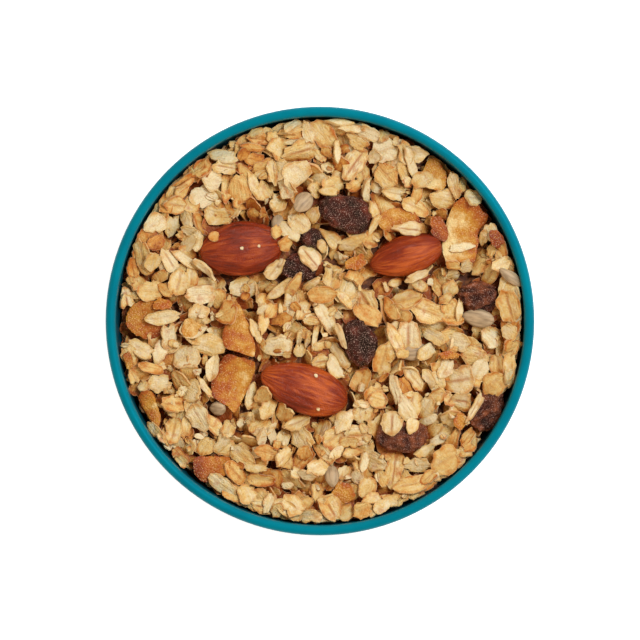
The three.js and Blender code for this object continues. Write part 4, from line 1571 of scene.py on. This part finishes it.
class FlakeMesh:
    """Makes the joined mesh of many flakes from one small template."""

    depth_shade = 0.75  # painted shade: how much browner the lowest-lying flakes are made
    depth_shade_from = 0.3  # millimetres under the heap's mean at which that begins
    depth_shade_reach = 2.2  # millimetres over which it grows
    lobes = (0.045, 0.045, 0.04, 0.036, 0.032, 0.03, 0.03)  # sizes of two to eight waves round the edge
    cleft = 0.2  # most depth of the notch at a flake's end
    bite = (-0.12, 0.26)  # least and most depth of a bite out of the edge, where below nought is none
    fraying = 0.042
    waviness = 0.11

    def __init__(self, columns: int = 6, rows: int = 4) -> None:
        """Makes the template: a thin disc, 1 in radius, from a grid.

        Args:
            columns: Faces along it.
            rows: Faces across it.
        """
        shape = bmesh.new()
        bmesh.ops.create_grid(shape, x_segments=columns, y_segments=rows, size=1.0)
        bmesh.ops.solidify(shape, geom=shape.faces[:] + shape.edges[:] + shape.verts[:], thickness=1.0)
        bmesh.ops.recalc_face_normals(shape, faces=shape.faces)
        places = np.array([vert.co[:] for vert in shape.verts])
        u, v = places[:, 0], places[:, 1] * (0.62 + 0.38 * places[:, 1] ** 2)
        self.u = u * np.sqrt(1 - v * v / 2)
        self.v = v * np.sqrt(1 - u * u / 2)
        self.side = np.sign(places[:, 2] - places[:, 2].mean())
        apart = np.hypot(*(places[:, None, :2] - places[None, :, :2]).transpose(2, 0, 1))
        # The same for a vertex and its twin on the other side.
        self.edge = np.argmin(apart + 1e-6 * np.arange(len(places)), axis=1)
        self.faces = np.array([[vert.index for vert in face.verts] for face in shape.faces])
        shape.free()

    def points(self, flakes: list[Flake], random: np.random.Generator) -> np.ndarray:
        """The flakes' vertices.

        Args:
            flakes: The flakes.
            random: Where the ragged edges are drawn from.

        Returns:
            Places in millimetres: flake, vertex, axis.
        """
        count = len(flakes)
        angle, out = np.arctan2(self.v, self.u), np.hypot(self.u, self.v)
        lobes = np.arange(2, 9)
        size = random.normal(0, 1, (count, 1, 7)) * np.array(self.lobes)
        phase = random.uniform(0, 2 * math.pi, (count, 1, 7))
        ragged = (size * np.cos(lobes * angle[:, None] + phase)).sum(axis=2)
        cleft = random.uniform(0, self.cleft, (count, 1)) * np.exp(-((np.sin(angle) / 0.4) ** 2))
        cleft = cleft * (np.cos(angle) > 0)
        for _ in range(2):
            bitten = random.uniform(-math.pi, math.pi, (count, 1))
            depth = np.maximum(0.0, random.uniform(*self.bite, (count, 1)))
            cleft = cleft + depth * np.exp(-((np.sin((angle - bitten) / 2) / 0.13) ** 2))
        frayed = random.normal(0, self.fraying, (count, len(self.u)))[:, self.edge]
        stretch = 1 + out**2 * (ragged - cleft) + (out > 0.9) * frayed
        names = "x y z length width thick fold cup bend twist point cut crease".split()
        value = {name: np.array([[getattr(flake, name)] for flake in flakes]) for name in names}
        u, v = self.u * stretch, self.v * stretch
        v = v * (1 - value["point"] * u)
        jag = 0.13 * np.cos(5 * v + phase[:, :, 0]) + 0.08 * np.cos(11 * v + phase[:, :, 1])
        u = np.minimum(u, value["cut"] + jag)
        height = random.normal(0, self.waviness, (count, 1, 7))
        wave = (height * np.cos(lobes * angle[:, None] + phase[:, :, ::-1])).sum(axis=2)
        lift = value["fold"] * np.abs(v) + value["cup"] * v**2 + value["bend"] * u**2 + value["twist"] * u * v
        lift = lift + wave * out**3 * value["length"] / 16
        groove = 0.4 * value["crease"] * np.exp(-((v / 0.16) ** 2)) * (1 - 0.6 * u**4)
        body = value["thick"] * (1 - 0.1 * np.minimum(1.1, out) ** 4)
        lift = lift + value["thick"] / 2 + self.side * body / 2 - groove * value["thick"]
        frames = np.array([flake.axes() for flake in flakes])
        middle = np.stack([value["x"], value["y"], value["z"]], axis=2)
        return (
            middle
            + (u * value["length"] / 2)[:, :, None] * frames[:, None, 0]
            + (v * value["width"] / 2)[:, :, None] * frames[:, None, 1]
            + lift[:, :, None] * frames[:, None, 2]
        )

    def joined(
        self, flakes: list[Flake], relief: Relief, random: np.random.Generator, name: str
    ) -> bpy.types.Mesh:
        """One mesh of all the flakes, with each flake's own coordinates and marks.

        Points that lie lower than the heap round them get a browner tone, as painted shade.

        Args:
            flakes: The flakes.
            relief: The map of heights.
            random: Where the ragged edges are drawn from.
            name: The mesh's name.

        Returns:
            The mesh.
        """
        points = self.points(flakes, random)
        places = points * MM
        count, size = len(flakes), len(self.u)
        faces = (self.faces[None] + size * np.arange(count)[:, None, None]).reshape(-1, self.faces.shape[1])
        mesh = bpy.data.meshes.new(name)
        mesh.from_pydata(places.reshape(-1, 3).tolist(), [], faces.tolist())
        marks = np.array([[flake.tone, flake.toast, flake.seed, flake.crease] for flake in flakes])
        half = np.array([[flake.length / 2, flake.width / 2] for flake in flakes])
        flat = np.tile(np.stack([self.u, self.v], axis=1), (count, 1))
        grain = np.zeros((count * size, 3))
        grain[:, :2] = flat * np.repeat(half, size, axis=0)
        grain[:, 2] = np.repeat(marks[:, 2] * 97.0, size)
        spread_marks = np.repeat(marks, size, axis=0)
        # painted shade: points lying below the heap round them are browned
        depth = relief.depth(*points.reshape(-1, 3).T)
        spread_marks[:, 0] += self.depth_shade * np.clip((depth - self.depth_shade_from) / self.depth_shade_reach, 0.0, 1.0)
        self.mark(mesh, "marks", "FLOAT_COLOR", "color", spread_marks)
        self.mark(mesh, "grain", "FLOAT_VECTOR", "vector", grain)
        self.mark(mesh, "toast", "FLOAT", "value", np.repeat(marks[:, 1], size))
        self.mark(mesh, "spot", "FLOAT_VECTOR", "vector", np.pad(flat, ((0, 0), (0, 1))))
        return mesh

    @staticmethod
    def mark(mesh: bpy.types.Mesh, name: str, kind: str, field_name: str, values: np.ndarray) -> None:
        """Stores values on a mesh's vertices.

        Args:
            mesh: The mesh.
            name: The attribute's name.
            kind: Its type.
            field_name: The name of its values.
            values: The values.
        """
        stored = mesh.attributes.new(name, kind, "POINT")
        stored.data.foreach_set(field_name, values.astype(np.float32).ravel())


@dataclass
class SunflowerKernels:
    """Hulled sunflower seeds, pointed at one end, that lie on the oats."""

    relief: Relief
    thick: float = 2.3
    kernels: tuple[tuple[float, ...], ...] = (
        (303, 202, 24, 19, 48),
        (479, 318, 33, 19, -10),
        (511, 277, 29, 12, -34),
        (414, 352, 30, 18, 10),
        (277, 223, 20, 13, 80),
        (332, 477, 23, 15, 95),
        (217, 409, 17, 15, 0),
    )

    def build(self) -> bpy.types.Object:
        """Lays the seeds and joins them. Each has its middle, length and width in pixels, and its turn.

        Returns:
            The seeds.
        """
        shape = bmesh.new()
        grain = shape.verts.layers.float_vector.new("grain")
        for px, py, length, width, turn in self.kernels:
            x, y = from_photo(px, py)
            made = bmesh.ops.create_icosphere(shape, subdivisions=3, radius=1.0)["verts"]
            level, tilt_x, tilt_y = self.relief.lie(x, y, 2.2)
            for vert in made:
                pointed = 1 - 0.3 * max(0.0, -vert.co.x) ** 1.5
                vert.co.x *= length * PIXEL / 2
                vert.co.y *= width * PIXEL / 2 * pointed
                vert.co.z *= self.thick / 2 * pointed
                vert[grain] = vert.co + Vector((0, 0, px))
            lean = 0.3 / max(0.5, math.hypot(tilt_x, tilt_y))
            out = Vector((-lean * tilt_x, -lean * tilt_y, 1)).normalized()
            tip = Vector((0, 0, 1)).rotation_difference(out).to_matrix().to_4x4()
            place = Matrix.Translation((x, y, level + 0.5 * self.thick)) @ tip
            turned = Matrix.Rotation(math.radians(turn), 4, "Z")
            bmesh.ops.transform(shape, matrix=place @ turned, verts=made)
            self.relief.cover(np.array([vert.co[:] for vert in made]))
        bmesh.ops.scale(shape, vec=(MM, MM, MM), verts=shape.verts)
        return add_piece(shape, "sunflower_kernels", SunflowerKernel(), "oats")


@dataclass
class Studio:
    """A plain pale floor, soft light and the camera straight above the bowl."""

    bowl: StonewareBowl
    distance: float = 900.0
    sensor: float = 36.0
    key_power: float = 7.1
    key_colour: str = "#edfaff"
    key_azimuth: float = 35.0
    key_elevation: float = 60.0
    key_distance: float = 900.0
    key_size: float = 320.0
    sky: str = "#ffe4c2"
    sky_above: float = 0.28
    sky_aside: float = 1.06
    floor_size: float = 4000.0
    floor_drop: float = 0.05  # keeps the floor clear of the foot ring

    def build(self) -> None:
        """Makes the floor, the lights and the camera."""
        self.make_floor()
        self.make_light()
        self.make_camera()

    def make_floor(self) -> None:
        """Makes the floor that the bowl stands on."""
        shape = bmesh.new()
        bmesh.ops.create_grid(shape, x_segments=1, y_segments=1, size=self.floor_size / 2 * MM)
        mesh = bpy.data.meshes.new("studio_floor")
        shape.to_mesh(mesh)
        shape.free()
        mesh.materials.append(OpalAcrylic().material())
        floor = bpy.data.objects.new("studio_floor", mesh)
        floor.location.z = -self.floor_drop * MM
        bpy.context.scene.collection.objects.link(floor)

    def make_light(self) -> None:
        """Makes the soft key light and the light all round, which is dimmer straight above."""
        data = bpy.data.lights.new("key_light", "AREA")
        data.energy = self.key_power
        data.color = linear(self.key_colour)[:3]
        data.shape = "DISK"
        data.size = self.key_size * MM
        light = bpy.data.objects.new("key_light", data)
        turn, rise = math.radians(self.key_azimuth), math.radians(self.key_elevation)
        away = Vector((math.cos(turn) * math.cos(rise), math.sin(turn) * math.cos(rise), math.sin(rise)))
        light.location = Vector((0, 0, self.bowl.height * MM)) + away * self.key_distance * MM
        light.rotation_euler = away.to_track_quat("Z", "Y").to_euler()
        bpy.context.scene.collection.objects.link(light)
        world = bpy.data.worlds.new("studio_light")
        world.use_nodes = True
        tree = world.node_tree
        facing = add_node(tree, "TexCoord").outputs["Generated"]
        rise = add_node(tree, "SeparateXYZ", {"Vector": facing}).outputs["Z"]
        fade = {"Value": rise, "From Min": 0.6, "From Max": 0.95}
        level = add_node(tree, "MapRange", {**fade, "To Min": self.sky_aside, "To Max": self.sky_above})
        background = tree.nodes["Background"]
        background.inputs["Color"].default_value = linear(self.sky)
        tree.links.new(outlet(level), background.inputs["Strength"])
        bpy.context.scene.world = world

    def make_camera(self) -> None:
        """Makes the camera, so that the rim fills as much of the frame as in the photograph."""
        data = bpy.data.cameras.new("camera")
        data.sensor_width = self.sensor
        data.lens = self.sensor * self.distance / (PHOTO_WIDTH * PIXEL)
        camera = bpy.data.objects.new("camera", data)
        x, y = from_photo(PHOTO_WIDTH / 2, PHOTO_WIDTH / 2)
        camera.location = Vector((x, y, self.bowl.rim_base + self.distance)) * MM
        bpy.context.scene.collection.objects.link(camera)
        bpy.context.scene.camera = camera
        bpy.context.scene.view_settings.view_transform = "Standard"


def toppings() -> list[Topping]:
    """The almonds, raisins and coconut chips. Outlines are radii in millimetres.

    Returns:
        The pieces, not yet built.
    """
    return [
        Almond("almond_1", 8.2, 6, 4, 3, length=23.3, width=15.6, point=0.2, roast=0.45),
        Almond("almond_2", 8.8, 17, -12, -3, length=21.0, width=11.6),
        Almond("almond_3", 8.0, -19, -5, 2, length=25.4, width=14.2),
        Raisin("raisin_1", 6.2, 150, roll=3, fold=0.9, drawn_out=1.5,
            outline=(7.2, 7.2, 5.7, 4.7, 4.8, 5.4, 7.0, 7.4, 6.9, 5.2, 4.9, 5.0, 5.2, 5.8, 7.1, 7.4),
        ),
        Raisin("raisin_2", 5.6,
            outline=(4.8, 4.8, 4.2, 3.6, 3.9, 3.9, 3.6, 3.9, 4.5, 4.9, 4.5, 3.6, 3.8, 4.2, 4.8, 5.3),
        ),
        Raisin("raisin_3", 5.0, fold=0.7,
            outline=(3.3, 3.2, 3.1, 2.9, 2.8, 2.8, 2.9, 3.0, 3.0, 3.0, 2.8, 2.6, 2.4, 2.6, 2.8, 3.2),
        ),
        Raisin("raisin_4", 6.0, 98, roll=-3, fold=1.0, spacing=2.2, drawn_out=3.2, brown=-0.1,
            outline=(4.5, 4.4, 4.4, 5.0, 6.1, 6.4, 6.1, 4.8, 4.3, 4.4, 4.6, 5.6, 6.4, 5.9, 5.0, 4.6),
        ),
        Raisin("raisin_5", 5.6, 10, fold=1.4, spacing=2.6, drawn_out=2.4, brown=0.15, finish=WRINKLED,
            outline=(4.9, 4.9, 3.8, 3.3, 3.5, 3.9, 4.4, 5.2, 5.2, 4.8, 4.5, 4.0, 4.0, 4.3, 4.9, 5.2),
        ),
        Raisin("raisin_6", 6.0, 10, fold=1.1, drawn_out=1.6, brown=0.3, finish=WRINKLED,
            outline=(7.0, 6.9, 5.2, 4.4, 4.2, 4.5, 5.3, 6.6, 7.2, 6.6, 4.9, 4.3, 4.2, 4.5, 5.4, 6.4),
        ),
        Raisin("raisin_7", 6.2, 50, fold=1.8, spacing=3.0, drawn_out=2.2, brown=0.3, finish=WRINKLED,
            outline=(3.6, 4.6, 5.7, 5.2, 4.7, 4.0, 3.7, 3.6, 4.1, 4.6, 5.3, 5.6, 5.0, 3.9, 3.2, 3.1),
        ),
        CoconutChip("coconut_chip_1", 1.1, 78, 6, bend=1.3, browning=0.43, fade=0.5, dark_side=5, ruffle=0.2,
            outline=(4.3, 6.0, 7.4, 7.1, 7.5, 8.4, 9.2, 8.2, 7.0, 6.2, 5.7, 5.4,
                     5.6, 6.1, 7.1, 9.1, 10.6, 9.4, 9.0, 9.5, 6.5, 5.3, 4.1, 3.9),
        ),
        CoconutChip("coconut_chip_2", 1.1, 100, -5, 3, bend=1.0, browning=0.48, fade=0.25, dark_side=190,
            outline=(3.4, 3.2, 3.3, 3.4, 3.8, 4.8, 7.3, 7.4, 5.6, 4.6, 4.3, 4.3,
                     4.4, 4.8, 5.3, 5.9, 6.0, 5.8, 6.1, 7.0, 8.5, 6.3, 4.6, 3.8),
        ),
        CoconutChip("coconut_chip_3", 1.1, 70, 5, 4, bend=1.0, browning=0.53, fade=0.25, dark_side=160,
            outline=(4.6, 5.3, 6.8, 8.4, 7.7, 7.6, 7.9, 8.5, 7.2, 6.1, 5.8, 5.8,
                     6.2, 6.6, 6.8, 6.6, 6.4, 6.8, 8.2, 6.2, 5.2, 4.6, 4.3, 4.3),
        ),
        CoconutChip("coconut_chip_4", 1.1, 62, -10, 6, bend=0.8, browning=0.42, fade=0.25, dark_side=20,
            outline=(2.9, 2.9, 2.8, 3.3, 4.9, 5.2, 4.2, 4.1, 4.2, 4.5, 4.7, 4.3, 4.2, 4.4, 3.9, 3.3),
        ),
        CoconutChip("coconut_chip_5", 1.1, 110, 8, 0, bend=0.5, browning=0.45, fade=0.2, dark_side=180,
            outline=(2.2, 2.1, 2.2, 3.4, 4.9, 5.3, 4.6, 3.0, 2.2, 1.8, 1.8, 2.3, 3.6, 5.9, 4.2, 2.7),
        ),
        CoconutChip("coconut_chip_6", 1.1, -14, -6, 3, bend=0.9, browning=0.72, fade=0.15, dark_side=180,
            outline=(5.8, 6.0, 3.6, 2.9, 2.8, 2.9, 3.9, 5.0, 4.6, 4.8, 4.8, 4.8, 4.4, 4.0, 4.6, 5.4),
        ),
        CoconutChip("coconut_chip_7", 1.1, 20, 4, -4, bend=0.9, browning=0.52, fade=0.2, dark_side=-30,
            outline=(7.0, 7.6, 6.5, 5.6, 5.5, 5.5, 5.5, 5.5, 5.7, 5.5, 5.2, 5.0, 5.5, 5.8, 6.0, 6.0),
        ),
        CoconutChip("coconut_chip_8", 1.1, 8, 4, 0, bend=0.6, browning=0.5, fade=0.1,
            outline=(6.0, 5.4, 4.4, 3.8, 3.6, 3.8, 4.4, 5.2, 5.8, 5.2, 4.2, 3.4, 3.2, 3.6, 4.4, 5.4),
        ),
    ]


def main() -> None:
    """Builds the bowl, the heap and its toppings, and the studio."""
    logging.basicConfig(level=logging.INFO, format="%(name)s: %(message)s")
    bowl = StonewareBowl()
    bowl.build()
    core = HeapCore(bowl)
    core.build()
    relief = Relief(core)
    heap = OatHeap(bowl, relief, [])
    heap.fill(level=47.4, tries=3, margin=0.0)
    heap.toppings = toppings()
    for piece in heap.toppings:
        piece.build(relief)
    heap.fill(level=49.2, tries=3, margin=2.4)
    heap.line_wall(count=140)
    heap.line_wall(count=60, first=-100.0, last=60.0)
    SunflowerKernels(relief).build()
    heap.lay_seen()
    heap.sprinkle(count=120, margin=0.3)
    flake_mesh = FlakeMesh()
    for kind in FlakeKind:
        flakes = [flake for flake in heap.flakes if flake.kind == kind]
        mesh = flake_mesh.joined(flakes, relief, heap.random, kind.value)
        finish = ToastedCoconut() if kind == FlakeKind.COCONUT else ToastedOat()
        add_piece(mesh, kind.value, finish, "oats")
    log.info("%d flakes, mean level %.1f mm", len(heap.flakes), relief.mean_level())
    Studio(bowl).build()


if __name__ == "__main__":
    main()
